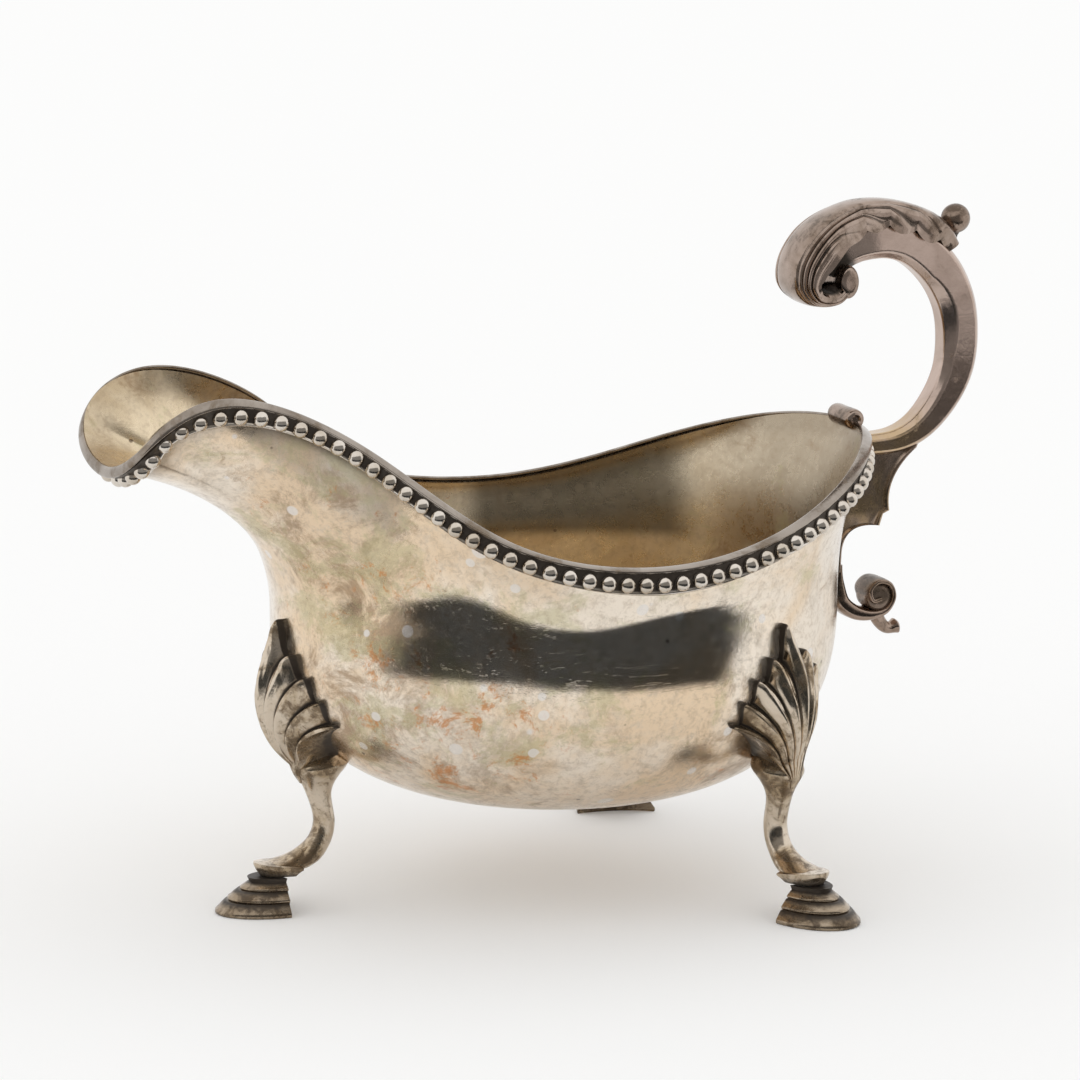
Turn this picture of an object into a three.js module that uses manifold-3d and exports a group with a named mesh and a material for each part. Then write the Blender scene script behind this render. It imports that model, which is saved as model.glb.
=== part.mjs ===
// A silver sauce boat on three shell-and-hoof legs, with a beaded rim and a flying scroll handle.
// Millimetres, Z up, the table is Z = 0. The pouring lip points to -X, the handle to +X, and the
// boat is symmetric about the XZ plane. Every cast piece is a solid of its own, and lies one
// solder seam away from the piece that carries it.
import * as THREE from 'three';
import { mergeVertices } from 'three/addons/utils/BufferGeometryUtils.js';
import Module from 'manifold-3d';

const wasm = await Module();
wasm.setup();

// General sizes
const seam = 0.3;              // solder seam between two pieces
const wall = 1.2;              // gauge of the raised bowl
const lipReach = 82.5;         // datum to the rim at the tip of the pouring lip
const rimReach = 81.6;         // datum to the rim net's end above the handle
const handleReach = 105.5;     // datum to the outermost point of the handle arm

// Bowl
const undersideHeight = 17.9;  // table to the lowest point of the bowl
const bellyRise = 40.8;        // lowest point of the bowl to its widest line
const bellyHalfLength = 58;
const bellyHalfWidth = 51.4;
const bellyCentre = 12.6;      // widest line's centre, from the datum
const undersideCentre = 17;    // lowest point of the bowl, from the datum
const bellyFullness = 2.6;     // exponent of the superellipse under the widest line
const rimDip = 55;             // lowest point of the bowl to the lowest part of the rim
const rimHalfWidth = 53.5;     // half width of the rim net at the belly
const throatHalfWidth = 22;    // half width of the rim net along the pouring lip
const lipRise = 37;            // crest of the lip above the lowest part of the rim
const handleRise = 16;         // handle end of the rim above its lowest part
const sideTilt = 78;           // slope of the wall at the rim in degrees: 90 is upright
const lipTilt = 8;
const heelTilt = 60;

// Rim mouldings, measured down the wall from the top edge and out from the edge line
const rimHeight = 0.9;
const rimInset = 1.7;
const rimOverhang = 0.6;
const wallInset = 0.5;         // edge line to the outside of the bowl's wall
const stripBottom = 5.3;
const stripThickness = 0.7;
const beadRadius = 1.3;
const beadPitch = 4;
const firstBead = 2.9;         // tip of the lip to the first bead, along the wire
const beadDrop = 3.35;         // top edge to the bead centres
const beadStand = 0.95;        // wall to the bead centres

// Legs and feet
const footLength = 12.8;
const footWidth = 16.5;
const footHeight = 7;
const footHollow = 1.8;        // depth of the hollow back of a foot
const frontStance = 47;        // datum to the back of the front foot
const rearStance = 46.8;       // datum to the backs of the rear feet, along the boat
const rearSpread = 47.1;       // centre plane to the backs of the rear feet
const rearSplay = 74.6;        // direction of the rear toes in degrees from +X
const lipHeight = 2.4;         // height of the flared lip over a foot
const shankThickness = 4.2;
const shankWidth = 5.1;
const shankSet = 10;           // back of the foot to the slimmest part of the shank
const waistHeight = 17.2;      // table to that part
const throatFlare = 5;         // widening of the shank on each side where the shell begins
const shellFoot = 27;          // table to the point from which the flutes fan out
const shellLength = 31.5;      // that point to the shell's tip
const shellShoulder = 28.3;    // that point to the lobes beside the tip
const shellSide = 18.6;        // that point to the lowest lobes
const shellBulge = 7.4;        // how far the shell stands out from the bowl
const shellSpread = 50;        // angle of the outermost flutes in degrees from upright
const shellLean = 2;           // sideways bend of the rear shells' tips towards the lip
const sideFlutes = 4;          // flutes on each side of the middle one
const fluteDepth = 1;

// Handle
const armThickness = 7.9;      // in the plane of the handle
const armWidth = 7;
const rootThickness = 4.4;
const armBevel = 1.5;
const hollowBevel = 1.8;       // extra bevel in the spear-shaped hollow of the arm
const crestHeight = 134.6;     // table to the top of the leaf
const leafThickness = 1.8;
const leafWidth = 16.5;        // at the curl
const lobeDepth = 1.5;
const lobePitch = 7.1;
const lobeStart = 28.3;        // outermost point of the handle to the first cusp of the leaf's lobed edge
const rollRadius = 2.3;
const rollStretch = 1.5;       // height of the rolled end over its width
const rollLength = 11;
const knopRadius = 3;
const rimScrollRadius = 2.1;
const rimScrollLength = 10;
const webThickness = 4.6;
const voluteRadius = 4;
const voluteWidth = 7.4;
const tailRadius = 1.5;

const radians = THREE.MathUtils.degToRad;
const rimLow = undersideHeight + rimDip;
const bellyHeight = undersideHeight + bellyRise;
const rimHeel = rimLow + handleRise;   // height of the rim where the handle meets it
const lipTop = footHeight + seam + lipHeight;
const deckUp = new THREE.Vector3(0, 0, 1);
const V = (x, y, z) => new THREE.Vector3(x, y, z);
const mix = (a, b, t) => a + (b - a) * t;
const bump = (x, width) => Math.exp(-((x / width) ** 2));

// Signed volume of an indexed mesh, positive when its faces look outward
function volumeOf(points, faces) {
  const a = V(), b = V(), c = V();
  let sum = 0;
  for (let i = 0; i < faces.length; i += 3) {
    a.copy(points[faces[i]]);
    b.copy(points[faces[i + 1]]);
    c.copy(points[faces[i + 2]]);
    sum += a.dot(b.cross(c)) / 6;
  }
  return sum;
}

// One closed body of points and faces, turned to look outward
function closedBody(points, faces) {
  if (volumeOf(points, faces) < 0) faces.reverse();
  const mesh = new wasm.Mesh({
    numProp: 3,
    vertProperties: new Float32Array(points.flatMap((p) => [p.x, p.y, p.z])),
    triVerts: new Uint32Array(faces),
  });
  return new wasm.Manifold(mesh);
}

// A loft through closed rings of equal count, with a fan over each end
function loft(rings) {
  const count = rings[0].length;
  const points = rings.flat();
  const faces = [];
  for (let i = 0; i + 1 < rings.length; i++) {
    for (let j = 0; j < count; j++) {
      const a = i * count + j, b = i * count + ((j + 1) % count);
      faces.push(a, b, a + count, b, b + count, a + count);
    }
  }
  const cap = (ring, start, flip) => {
    const middle = points.length;
    points.push(ring.reduce((sum, p) => sum.add(p), V()).divideScalar(count));
    for (let j = 0; j < count; j++) {
      const a = start + j, b = start + ((j + 1) % count);
      faces.push(...(flip ? [middle, b, a] : [middle, a, b]));
    }
  };
  cap(rings[0], 0, true);
  cap(rings.at(-1), (rings.length - 1) * count, false);
  return closedBody(points, faces);
}

// A sweep round a closed path: the last ring joins the first
function hoop(rings) {
  const count = rings[0].length, turns = rings.length;
  const faces = [];
  for (let i = 0; i < turns; i++) {
    for (let j = 0; j < count; j++) {
      const a = i * count + j, b = i * count + ((j + 1) % count);
      const c = ((i + 1) % turns) * count + j, d = ((i + 1) % turns) * count + ((j + 1) % count);
      faces.push(a, b, c, b, d, c);
    }
  }
  return closedBody(rings.flat(), faces);
}

// A three.js geometry as a solid
function solidFrom(geometry) {
  const bare = geometry.clone();
  for (const name of Object.keys(bare.attributes)) if (name !== 'position') bare.deleteAttribute(name);
  const merged = mergeVertices(bare, 1e-4);
  const at = merged.getAttribute('position');
  const points = Array.from({ length: at.count }, (_, i) => V().fromBufferAttribute(at, i));
  const faces = [];
  const index = merged.getIndex().array;
  for (let i = 0; i < index.length; i += 3) {
    const [a, b, c] = [index[i], index[i + 1], index[i + 2]];
    if (a !== b && b !== c && a !== c) faces.push(a, b, c);
  }
  return closedBody(points, faces);
}

// The largest of the bodies that a cut leaves
function mainBody(solid) {
  const bodies = solid.decompose();
  return bodies.reduce((best, body) => (body.volume() > best.volume() ? body : best));
}

const silver = { roughness: 0.32, metalness: 1 };
const boat = new THREE.Group();
boat.name = 'sauce_boat';

function addNode(name, solid, colour) {
  const { vertProperties, triVerts, numProp } = solid.getMesh();
  const geometry = new THREE.BufferGeometry();
  const positions = new Float32Array((vertProperties.length / numProp) * 3);
  for (let i = 0; i < positions.length / 3; i++) {
    for (let k = 0; k < 3; k++) positions[3 * i + k] = vertProperties[numProp * i + k];
  }
  geometry.setAttribute('position', new THREE.BufferAttribute(positions, 3));
  geometry.setIndex(new THREE.BufferAttribute(new Uint32Array(triVerts), 1));
  geometry.computeVertexNormals();
  const mesh = new THREE.Mesh(geometry, new THREE.MeshStandardMaterial({ ...silver, color: colour }));
  mesh.name = name;
  boat.add(mesh);
}

// The rim's edge line: a closed B-spline over stations from the lip's tip to the handle
const halfNet = [
  V(-lipReach, 0, rimLow + lipRise - 22.4),
  V(-lipReach - 0.9, throatHalfWidth, rimLow + lipRise - 13.6),
  V(-lipReach + 15.5, throatHalfWidth - 0.7, rimLow + lipRise + 0.6),
  V(-lipReach + 44.7, throatHalfWidth + 1.8, rimLow + lipRise - 11.6),
  V(bellyCentre - 33.1, rimHalfWidth + 0.8, rimLow + 4.1),
  V(bellyCentre + 10.7, rimHalfWidth - 1.4, rimLow - 2),
  V(rimReach - 27.1, rimHalfWidth - 10.3, rimLow + handleRise - 7.7),
  V(rimReach - 8.9, throatHalfWidth + 0.6, rimLow + handleRise - 0.1),
  V(rimReach, 0, rimLow + handleRise + 0.6),
];
const halfSpans = halfNet.length - 1;
const spans = 2 * halfSpans;
const mirrorY = (p) => V(p.x, -p.y, p.z);
const rimNet = [...halfNet, ...halfNet.slice(1, -1).reverse().map(mirrorY)];

function rimPoint(u) {
  const span = Math.floor(u);
  const t = u - span;
  const weights = [(1 - t) ** 3, 3 * t ** 3 - 6 * t ** 2 + 4, -3 * t ** 3 + 3 * t ** 2 + 3 * t + 1, t ** 3];
  const point = V();
  weights.forEach((w, k) => point.addScaledVector(rimNet[(span + k - 1 + 2 * spans) % spans], w / 6));
  return point;
}

// The rim's local frame: up runs along the wall, out stands square on it
const lapped = (u) => (u + spans) % spans;
const fromLip = (u) => Math.min(lapped(u), spans - lapped(u));
function rimFrame(u) {
  const along = rimPoint(u + 0.01).sub(rimPoint(u - 0.01)).setZ(0).normalize();
  const level = V(-along.y, along.x, 0);
  const lip = bump(fromLip(u), 2.2);
  const heel = bump(halfSpans - fromLip(u), 1.5);
  const tilt = radians(sideTilt + (lipTilt - sideTilt) * lip + (heelTilt - sideTilt) * heel);
  const up = level.clone().multiplyScalar(Math.cos(tilt)).setZ(Math.sin(tilt));
  const out = level.clone().multiplyScalar(Math.sin(tilt)).setZ(-Math.cos(tilt));
  return { edge: rimPoint(u), up, out };
}

function offRim(u, out, up) {
  const frame = rimFrame(u);
  return frame.edge.addScaledVector(frame.out, out).addScaledVector(frame.up, up);
}

// The widest line of the bowl, opposite a place on the rim
const meridianEase = 1.34;     // draws the meridians towards the lip
function bellyPoint(u) {
  const angle = Math.PI * (1 - (fromLip(u) / halfSpans) ** meridianEase);
  const side = lapped(u) <= halfSpans ? 1 : -1;
  const along = bellyHalfLength * Math.cos(angle), across = bellyHalfWidth * Math.sin(angle);
  return V(bellyCentre + along, side * across, bellyHeight);
}

// Outside of the bowl: v runs from 0 at the rim through 1 at the widest line to 2 underneath
const neckStiffness = 0.45;
const flareStiffness = 0.22;
const bowlTopDrop = rimHeight + 1.5 * seam;
function bowlPoint(u, v) {
  const belly = bellyPoint(u);
  if (v <= 1) {
    const top = offRim(u, -wallInset, -bowlTopDrop);
    const length = top.distanceTo(belly);
    const flare = top.clone().addScaledVector(rimFrame(u).up, -flareStiffness * length);
    const neck = belly.clone().addScaledVector(deckUp, neckStiffness * length);
    return new THREE.CubicBezierCurve3(top, flare, neck, belly).getPoint(v);
  }
  const turn = Math.max(Math.cos(((v - 1) * Math.PI) / 2), 0);
  const spread = turn ** (2 / bellyFullness);
  const drop = Math.sin(((v - 1) * Math.PI) / 2) ** (2 / bellyFullness);
  return V(mix(undersideCentre, belly.x, spread), belly.y * spread, bellyHeight - bellyRise * drop);
}

function bowlNormal(u, v) {
  const w = Math.min(Math.max(v, 0.004), 1.97);
  const across = bowlPoint(u + 0.01, w).sub(bowlPoint(u - 0.01, w));
  const down = bowlPoint(u, w + 0.003).sub(bowlPoint(u, w - 0.003));
  return across.cross(down).normalize();
}

// A place on the wall, a depth below the rim's edge line, moved out from the wall's skin
function onWall(u, depth, off) {
  const top = bowlPoint(u, 0);
  let low = 0, high = 1;
  for (let k = 0; k < 12; k++) {
    const middle = (low + high) / 2;
    if (bowlPoint(u, middle).distanceTo(top) < depth - bowlTopDrop) low = middle;
    else high = middle;
  }
  return bowlPoint(u, low).addScaledVector(bowlNormal(u, low), off);
}

// Stations round the bowl, closer together where the pouring lip turns
const lipSpans = 4;
const lipSteps = 17, sideSteps = 10;
const halfRound = [];
for (let i = 0; i < lipSteps; i++) halfRound.push((i / lipSteps) * lipSpans);
for (let i = 0; i <= sideSteps; i++) halfRound.push(mix(lipSpans, halfSpans, i / sideSteps));
const around = [...halfRound, ...halfRound.slice(1, -1).reverse().map((u) => spans - u)];
const wallRows = [0, 0.07, 0.17, 0.31, 0.51, 0.76, 1];
const bottomRows = [1.1, 1.3, 1.55, 1.78, 1.93];

// One skin of the bowl as rows of points, moved out along its normals
function bowlSkin(offset) {
  return [...wallRows, ...bottomRows].map((v) =>
    around.map((u) => bowlPoint(u, v).addScaledVector(bowlNormal(u, v), offset)));
}
const bowlPole = (offset) => V(undersideCentre, 0, undersideHeight - offset);

// Rows of one closed surface from a pole through rings to another pole
function poleToPole(first, rows, last) {
  const count = rows[0].length;
  const points = [first, ...rows.flat(), last];
  const at = (i, j) => 1 + i * count + (j % count);
  const faces = [];
  for (let j = 0; j < count; j++) faces.push(0, at(0, j + 1), at(0, j));
  for (let i = 0; i + 1 < rows.length; i++) {
    for (let j = 0; j < count; j++) {
      faces.push(at(i, j), at(i, j + 1), at(i + 1, j), at(i, j + 1), at(i + 1, j + 1), at(i + 1, j));
    }
  }
  const pole = points.length - 1, end = rows.length - 1;
  for (let j = 0; j < count; j++) faces.push(pole, at(end, j), at(end, j + 1));
  return closedBody(points, faces);
}

function bowlShell() {
  const outside = bowlSkin(0).reverse();
  const inside = bowlSkin(-wall);
  return poleToPole(bowlPole(0), [...outside, ...inside], bowlPole(-wall));
}

// The space that the bowl and its rim fill, grown by a seam: cast pieces are cut with it
function bowlBlock() {
  const rimRows = [
    around.map((u) => offRim(u, -rimInset, seam)),
    around.map((u) => offRim(u, rimOverhang + seam, seam)),
    around.map((u) => offRim(u, rimOverhang + seam, -rimHeight - seam)),
    around.map((u) => offRim(u, seam - wallInset, -rimHeight - 2 * seam)),
  ];
  const skin = bowlSkin(seam).slice(1);
  return poleToPole(V(bellyCentre, 0, rimLow + seam), [...rimRows, ...skin], bowlPole(seam));
}

function rimWire() {
  const soft = 0.3;
  const section = [
    [rimOverhang, -rimHeight], [rimOverhang, -soft], [rimOverhang - soft, 0],
    [soft - rimInset, 0], [-rimInset, -soft], [-rimInset, -rimHeight],
  ];
  return hoop(around.map((u) => section.map(([out, up]) => offRim(u, out, up))));
}

const beadProfile = [[0, -0.45], [0.99, -0.15], [0.74, 0.67], [0, 1]]
  .map(([r, h]) => new THREE.Vector2(r * beadRadius, h * beadRadius));

// The beaded wire of one side: a flat strip with a raised lower edge, and a row of half-sunk beads
const beadLine = (u) => onWall(u, beadDrop, beadStand);
function beadStrip(side) {
  const steps = 32 * halfSpans;
  const lengths = [0];
  for (let i = 1; i <= steps; i++) {
    const a = beadLine(((i - 1) / steps) * halfSpans), b = beadLine((i / steps) * halfSpans);
    lengths.push(lengths.at(-1) + a.distanceTo(b));
  }
  const placeAt = (length) => {
    const i = Math.min(lengths.findIndex((l) => l >= length), steps);
    return ((i - 1 + (length - lengths[i - 1]) / (lengths[i] - lengths[i - 1])) / steps) * halfSpans;
  };
  const start = placeAt(seam / 2 + 0.1);
  const handleSide = armWidth / 2 + seam;
  let end = halfSpans - 0.05;
  while (Math.abs(onWall(end, stripBottom, 0).y) < handleSide) end -= 0.005;

  const face = seam + stripThickness;
  const section = [
    [bowlTopDrop, seam], [bowlTopDrop, face], [stripBottom - 0.8, face],
    [stripBottom - 0.5, face + 0.4], [stripBottom, face + 0.2], [stripBottom, seam],
    [mix(bowlTopDrop, stripBottom, 0.45), seam],
  ];
  const stations = around.filter((u) => u > start + 0.05 && u < end - 0.05);
  const along = [start, ...stations, end];
  let strip = loft(along.map((u) => section.map(([depth, off]) => onWall(u, depth, off))));

  // The beads sit on the strip's own straight spans
  const onStrip = (u, off) => {
    const i = along.findIndex((station) => station > u);
    const share = (u - along[i - 1]) / (along[i] - along[i - 1]);
    return onWall(along[i - 1], beadDrop, off).lerp(onWall(along[i], beadDrop, off), share);
  };

  const lastBead = lengths[Math.round((end / halfSpans) * steps)] - 1.2 * beadRadius;
  const beads = [];
  for (let length = firstBead; length < lastBead; length += beadPitch) {
    const u = placeAt(length);
    const bead = new THREE.LatheGeometry(beadProfile, 5);
    const centre = onStrip(u, beadStand);
    const outward = onStrip(u, beadStand + 1).sub(centre).normalize();
    bead.applyQuaternion(new THREE.Quaternion().setFromUnitVectors(V(0, 1, 0), outward));
    bead.translate(centre.x, centre.y, centre.z);
    beads.push(solidFrom(bead));
  }
  strip = beads.reduce((whole, bead) => whole.add(bead), strip);
  return side > 0 ? strip : strip.mirror([0, 1, 0]);
}

// A leg's own frame: out is the toe's direction, across is square to it, the origin is the foot's back
function legFrame(x, y, degrees, lean = 0) {
  const out = V(Math.cos(radians(degrees)), Math.sin(radians(degrees)), 0);
  const across = V(-out.y, out.x, 0);
  const origin = V(x, y, 0);
  const tip = shellFoot + shellLength;
  const leanAt = (z) => lean * THREE.MathUtils.smoothstep(z, tip - shellLength / 3, tip);
  const place = (r, t, z) =>
    origin.clone().addScaledVector(out, r).addScaledVector(across, t + leanAt(z)).setZ(z);
  // Distance out to the bowl's skin at height z, t beside the leg's own plane
  const bowlReach = (t, z) => {
    const height = Math.min(Math.max(z, undersideHeight), bellyHeight);
    const drop = (bellyHeight - height) / bellyRise;
    const spread = (1 - drop ** bellyFullness) ** (1 / bellyFullness);
    const centre = mix(undersideCentre, bellyCentre, spread);
    const start = place(0, t, z);
    const a = spread * bellyHalfLength + 1e-6, b = spread * bellyHalfWidth + 1e-6;
    const qa = (out.x / a) ** 2 + (out.y / b) ** 2;
    const qb = ((start.x - centre) * out.x) / a ** 2 + (start.y * out.y) / b ** 2;
    const qc = ((start.x - centre) / a) ** 2 + (start.y / b) ** 2 - 1;
    return (-qb + Math.sqrt(Math.max(qb * qb - qa * qc, 0))) / qa;
  };
  return { place, bowlReach };
}

// The fluted shell: flutes fan out from its foot to a lobed edge, over a dome that follows the bowl
const ridgeAt = (q) => Math.cos(2 * Math.PI * sideFlutes * q);
function shellEdge(q) {
  const angle = q * radians(shellSpread);
  const shoulder = mix(shellSide, shellShoulder, (1 - Math.abs(q)) ** 1.05);
  const lobe = 1 + 0.06 * ridgeAt(q) - 0.06;
  return { angle, reach: (shoulder + (shellLength - shellShoulder) * bump(q, 0.1)) * lobe };
}

function shellPoint(frame, p, q) {
  const { angle, reach } = shellEdge(q);
  const t = p * reach * Math.sin(angle), z = shellFoot + p * reach * Math.cos(angle);
  const dome = Math.sqrt(Math.max(1 - p ** 2.4, 0)) * (1 - 0.22 * q * q);
  const rise = (z - shellFoot) / shellLength;
  const height = shellBulge * (1.5 - 0.9 * rise) * dome + 0.6;
  const ripple = fluteDepth * 0.5 * ridgeAt(q) * Math.sqrt(p);
  return frame.place(frame.bowlReach(t, z) + height + ripple, t, z);
}

function shell(frame) {
  const rows = [0.12, 0.36, 0.6, 0.8, 0.93, 1];
  const columns = Array.from({ length: 4 * sideFlutes + 1 }, (_, i) => i / (2 * sideFlutes) - 1);
  const depth = 4;
  const rings = rows.map((p) => {
    const top = columns.map((q) => shellPoint(frame, p, q));
    const base = columns.map((q) => {
      const { angle, reach } = shellEdge(q);
      const t = p * reach * Math.sin(angle), z = shellFoot + p * reach * Math.cos(angle);
      return frame.place(frame.bowlReach(t, z) - depth, t, z);
    });
    return [...top, ...base.reverse()];
  });
  return loft(rings);
}

// Front and back outlines of the shank in the leg's own plane, from inside the shell to the ankle
const waist = { front: -shankSet + shankThickness / 2, back: -shankSet - shankThickness / 2 };
const shankFront = new THREE.CatmullRomCurve3([
  V(1.6, 0, shellFoot + 9), V(-0.6, 0, shellFoot + 4.4), V(-3.6, 0, shellFoot + 0.6),
  V(-6.2, 0, waistHeight + 6), V(waist.front, 0, waistHeight), V(-6.9, 0, waistHeight - 3.1),
  V(-4.6, 0, lipTop + 2.4),
  V(-1.6, 0, lipTop + 0.9), V(1.6, 0, lipTop + 0.1),
], false, 'centripetal');
const shankBack = new THREE.CatmullRomCurve3([
  V(-18, 0, shellFoot + 8), V(-16.4, 0, shellFoot + 3), V(-13.2, 0, shellFoot - 0.4),
  V(-11.5, 0, waistHeight + 6), V(waist.back, 0, waistHeight - 0.4),
  V(-11.4, 0, waistHeight - 4), V(-9.2, 0, lipTop),
  V(-6.2, 0, lipTop - 1.6), V(-2.4, 0, lipTop - 2),
], false, 'centripetal');

function shank(frame) {
  const steps = 13, sides = 10;
  const rings = [];
  for (let i = 0; i <= steps; i++) {
    const s = i / steps;
    const front = shankFront.getPoint(s), back = shankBack.getPoint(s);
    const middle = front.clone().lerp(back, 0.5), half = front.clone().sub(back).divideScalar(2);
    const flare = (1 - THREE.MathUtils.smoothstep(s, 0, 0.42)) * throatFlare;
    const ankle = THREE.MathUtils.smoothstep(s, 0.68, 1) * 1.6;
    const wide = shankWidth / 2 + flare + ankle;
    rings.push(Array.from({ length: sides }, (_, j) => {
      const a = (2 * Math.PI * j) / sides;
      const toFront = Math.cos(a);
      return frame.place(middle.x + half.x * toFront, wide * Math.sin(a), middle.z + half.z * toFront);
    }));
  }
  return loft(rings);
}

// A D-shaped ring: a half ellipse to the toe, and a hollow back
function hoofRing(frame, back, toe, width, hollow, z, tilt = 0) {
  const sides = 9, backSides = 3;
  const ring = [];
  for (let i = 0; i <= sides; i++) {
    const a = Math.PI * (i / sides - 0.5);
    ring.push([back + (toe - back) * Math.cos(a), (width / 2) * Math.sin(a)]);
  }
  for (let i = 1; i < backSides; i++) {
    const a = 1 - (2 * i) / backSides;
    ring.push([back + hollow * (1 - a * a), (width / 2) * a]);
  }
  return ring.map(([r, t]) => frame.place(r, t, z + tilt * r));
}

// The flared lip at the ankle, under which the foot is soldered
function ankleLip(frame) {
  const bottom = footHeight + seam;
  const toe = 0.36 * footLength, width = 0.58 * footWidth, back = -0.28 * footLength;
  return loft([
    hoofRing(frame, back + 0.9, toe - 1.1, width - 1.8, 0.3, bottom),
    hoofRing(frame, back, toe, width, 0.3, bottom + 0.5, 0.03),
    hoofRing(frame, back - 0.3, toe + 0.1, width, 0.3, bottom + 0.8 * lipHeight, 0.12),
    hoofRing(frame, back - 0.3, toe - 0.6, width - 1.2, 0, lipTop - 0.2, 0.1),
    hoofRing(frame, back - 0.4, toe - 2.8, width - 3.6, 0, lipTop + 0.1, 0.03),
  ]);
}

function leg(frame) {
  return mainBody(shell(frame).add(shank(frame)).add(ankleLip(frame)).subtract(bowlBlock()));
}

// Three stepped tiers, each with a rounded edge and a groove over it
function foot(frame) {
  const tiers = [
    { size: 1, top: 0.37 },
    { size: 0.8, top: 0.66 },
    { size: 0.6, top: 0.88 },
  ];
  const rings = [];
  let bottom = 0;
  for (const { size, top } of tiers) {
    const low = bottom * footHeight, high = top * footHeight;
    const edge = (shrink, z) => {
      const scale = size - shrink;
      const back = -1.4 * (1 - size);
      rings.push(hoofRing(frame, back, footLength * scale, footWidth * scale, footHollow * scale, z));
    };
    edge(0.05, low);
    edge(0, mix(low, high, 0.3));
    edge(0.02, mix(low, high, 0.75));
    edge(0.1, high - 0.05);
    bottom = top;
  }
  rings.push(hoofRing(frame, -0.7, footLength * 0.48, footWidth * 0.48, footHollow * 0.4, footHeight));
  return loft(rings);
}

// Places on the handle: in the arch, from its outermost point and the crest of the leaf; at the
// root, from the end of the rim; and on the bracket, from the bowl's end, belly or rim
const rimOverBelly = 11;
const bowlEnd = Math.max(bellyCentre + bellyHalfLength, rimReach - rimOverBelly);
const inArch = (inset, drop) => V(handleReach - inset, 0, crestHeight - drop);
const atRoot = (out, drop) => V(rimReach + out, 0, rimHeel - drop);
const onBracket = (out, drop) => V(bowlEnd + out, 0, rimHeel - drop);

// The panelled arm of the handle, an eight-sided section that tapers to its root
const archEnd = inArch(8.7, 15), bendStart = V(handleReach - 8.1, 0, rimHeel + 3.2);
const inBend = (inset, share) => V(handleReach - inset, 0, mix(bendStart.z, archEnd.z, share));
const armLine = new THREE.CatmullRomCurve3([
  inArch(26.9, 11), inArch(24, 9), inArch(19.5, 8.4), inArch(13.9, 10.4), archEnd,
  inBend(5, 0.75), inBend(armThickness / 2, 0.48), inBend(4.9, 0.22), bendStart,
  V(handleReach - 12.7, 0, rimHeel - 1.6), atRoot(6, 4), atRoot(-1.6, 4.5), atRoot(-7.1, 4.3),
], false, 'centripetal');
const archMiddle = inBend(21.5, 0.47);

function armSection(s, grow) {
  const centre = armLine.getPointAt(s);
  const tangent = armLine.getTangentAt(s);
  const outward = V(-tangent.z, 0, tangent.x).negate();
  if (outward.dot(centre.clone().sub(archMiddle)) < 0) outward.negate();
  const taper = THREE.MathUtils.smoothstep(s, 0.55, 0.92);
  const start = THREE.MathUtils.smoothstep(s, 0, 0.16);
  const full = armThickness + 0.6 * bump(s - 0.33, 0.12) - 0.4 * bump(s - 0.66, 0.12);
  const a = mix(mix(armThickness * 0.62, full, start), rootThickness, taper) / 2 + grow;
  const b = mix(mix(armWidth * 0.62, armWidth, start), armWidth * 0.86, taper) / 2 + grow;
  const bevel = armBevel * mix(1, 0.7, taper);
  const hollow = bevel + hollowBevel * Math.max(1 - ((s - 0.5) / 0.14) ** 2, 0);
  const corners = [
    [a, b - bevel], [a - bevel * 0.7, b], [-a + hollow, b], [-a, b - bevel],
    [-a, -b + bevel], [-a + hollow, -b], [a - bevel * 0.7, -b], [a, -b + bevel],
  ];
  return corners.map(([n, y]) => centre.clone().addScaledVector(outward, n).setY(y));
}

function arm(grow = 0) {
  const steps = 30;
  return loft(Array.from({ length: steps + 1 }, (_, i) => armSection(i / steps, grow)));
}

// The leaf on the arm: ribs run along it, its side edges are lobed, and its end curls under
const leafLine = new THREE.CatmullRomCurve3([
  inArch(4.3, 9.6), inArch(6.3, 6.2), inArch(9.9, 3.4), inArch(15, 1.3), inArch(21, 0), inArch(27.1, 0),
  inArch(33.2, 1.9), inArch(38.7, 5.7), inArch(42.3, 11.5), inArch(42.3, 16.9), inArch(39.5, 20.1),
  inArch(35.7, 21), inArch(32.1, 20.6), inArch(29.5, 18.8),
], false, 'centripetal');

function leafSection(s, grow) {
  const centre = leafLine.getPointAt(s);
  const tangent = leafLine.getTangentAt(s);
  const inward = V(-tangent.z, 0, tangent.x);
  const curl = THREE.MathUtils.smoothstep(s, 0.3, 0.62);
  const close = THREE.MathUtils.smoothstep(s, 0.8, 1);
  const start = THREE.MathUtils.smoothstep(s, 0, 0.12);
  const half = mix(mix(mix(3.2, 5.2, start), leafWidth / 2, curl), rollLength / 2, close);
  const fromCusp = handleReach - lobeStart - centre.x;
  const lobes = lobeDepth * Math.abs(Math.sin((Math.PI * fromCusp) / lobePitch)) * (1 - curl);
  const depth = mix(mix(mix(2.6, 4.8, start), 6.8, curl), 2.6, close) + lobes;
  const outer = [], inner = [];
  const across = 12;
  for (let i = 0; i <= across; i++) {
    const a = (2 * i) / across - 1;
    const rib = Math.abs(a) > 0.3 && i % 2 ? 0.45 : 0;
    const fall = 1 - Math.sqrt(Math.max(1 - a * a, 0));
    outer.push([(half + grow) * Math.sin((a * Math.PI) / 2), depth * fall + rib * 0.6 - grow]);
  }
  for (let i = across - 2; i >= 2; i -= 2) {
    const a = (2 * i) / across - 1;
    const fall = 1 - Math.sqrt(Math.max(1 - a * a, 0));
    const reach = half - leafThickness * 0.5;
    inner.push([reach * Math.sin((a * Math.PI) / 2), depth * fall * 0.9 + leafThickness + grow]);
  }
  return [...outer, ...inner].map(([y, n]) => centre.clone().addScaledVector(inward, n).setY(y));
}

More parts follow.
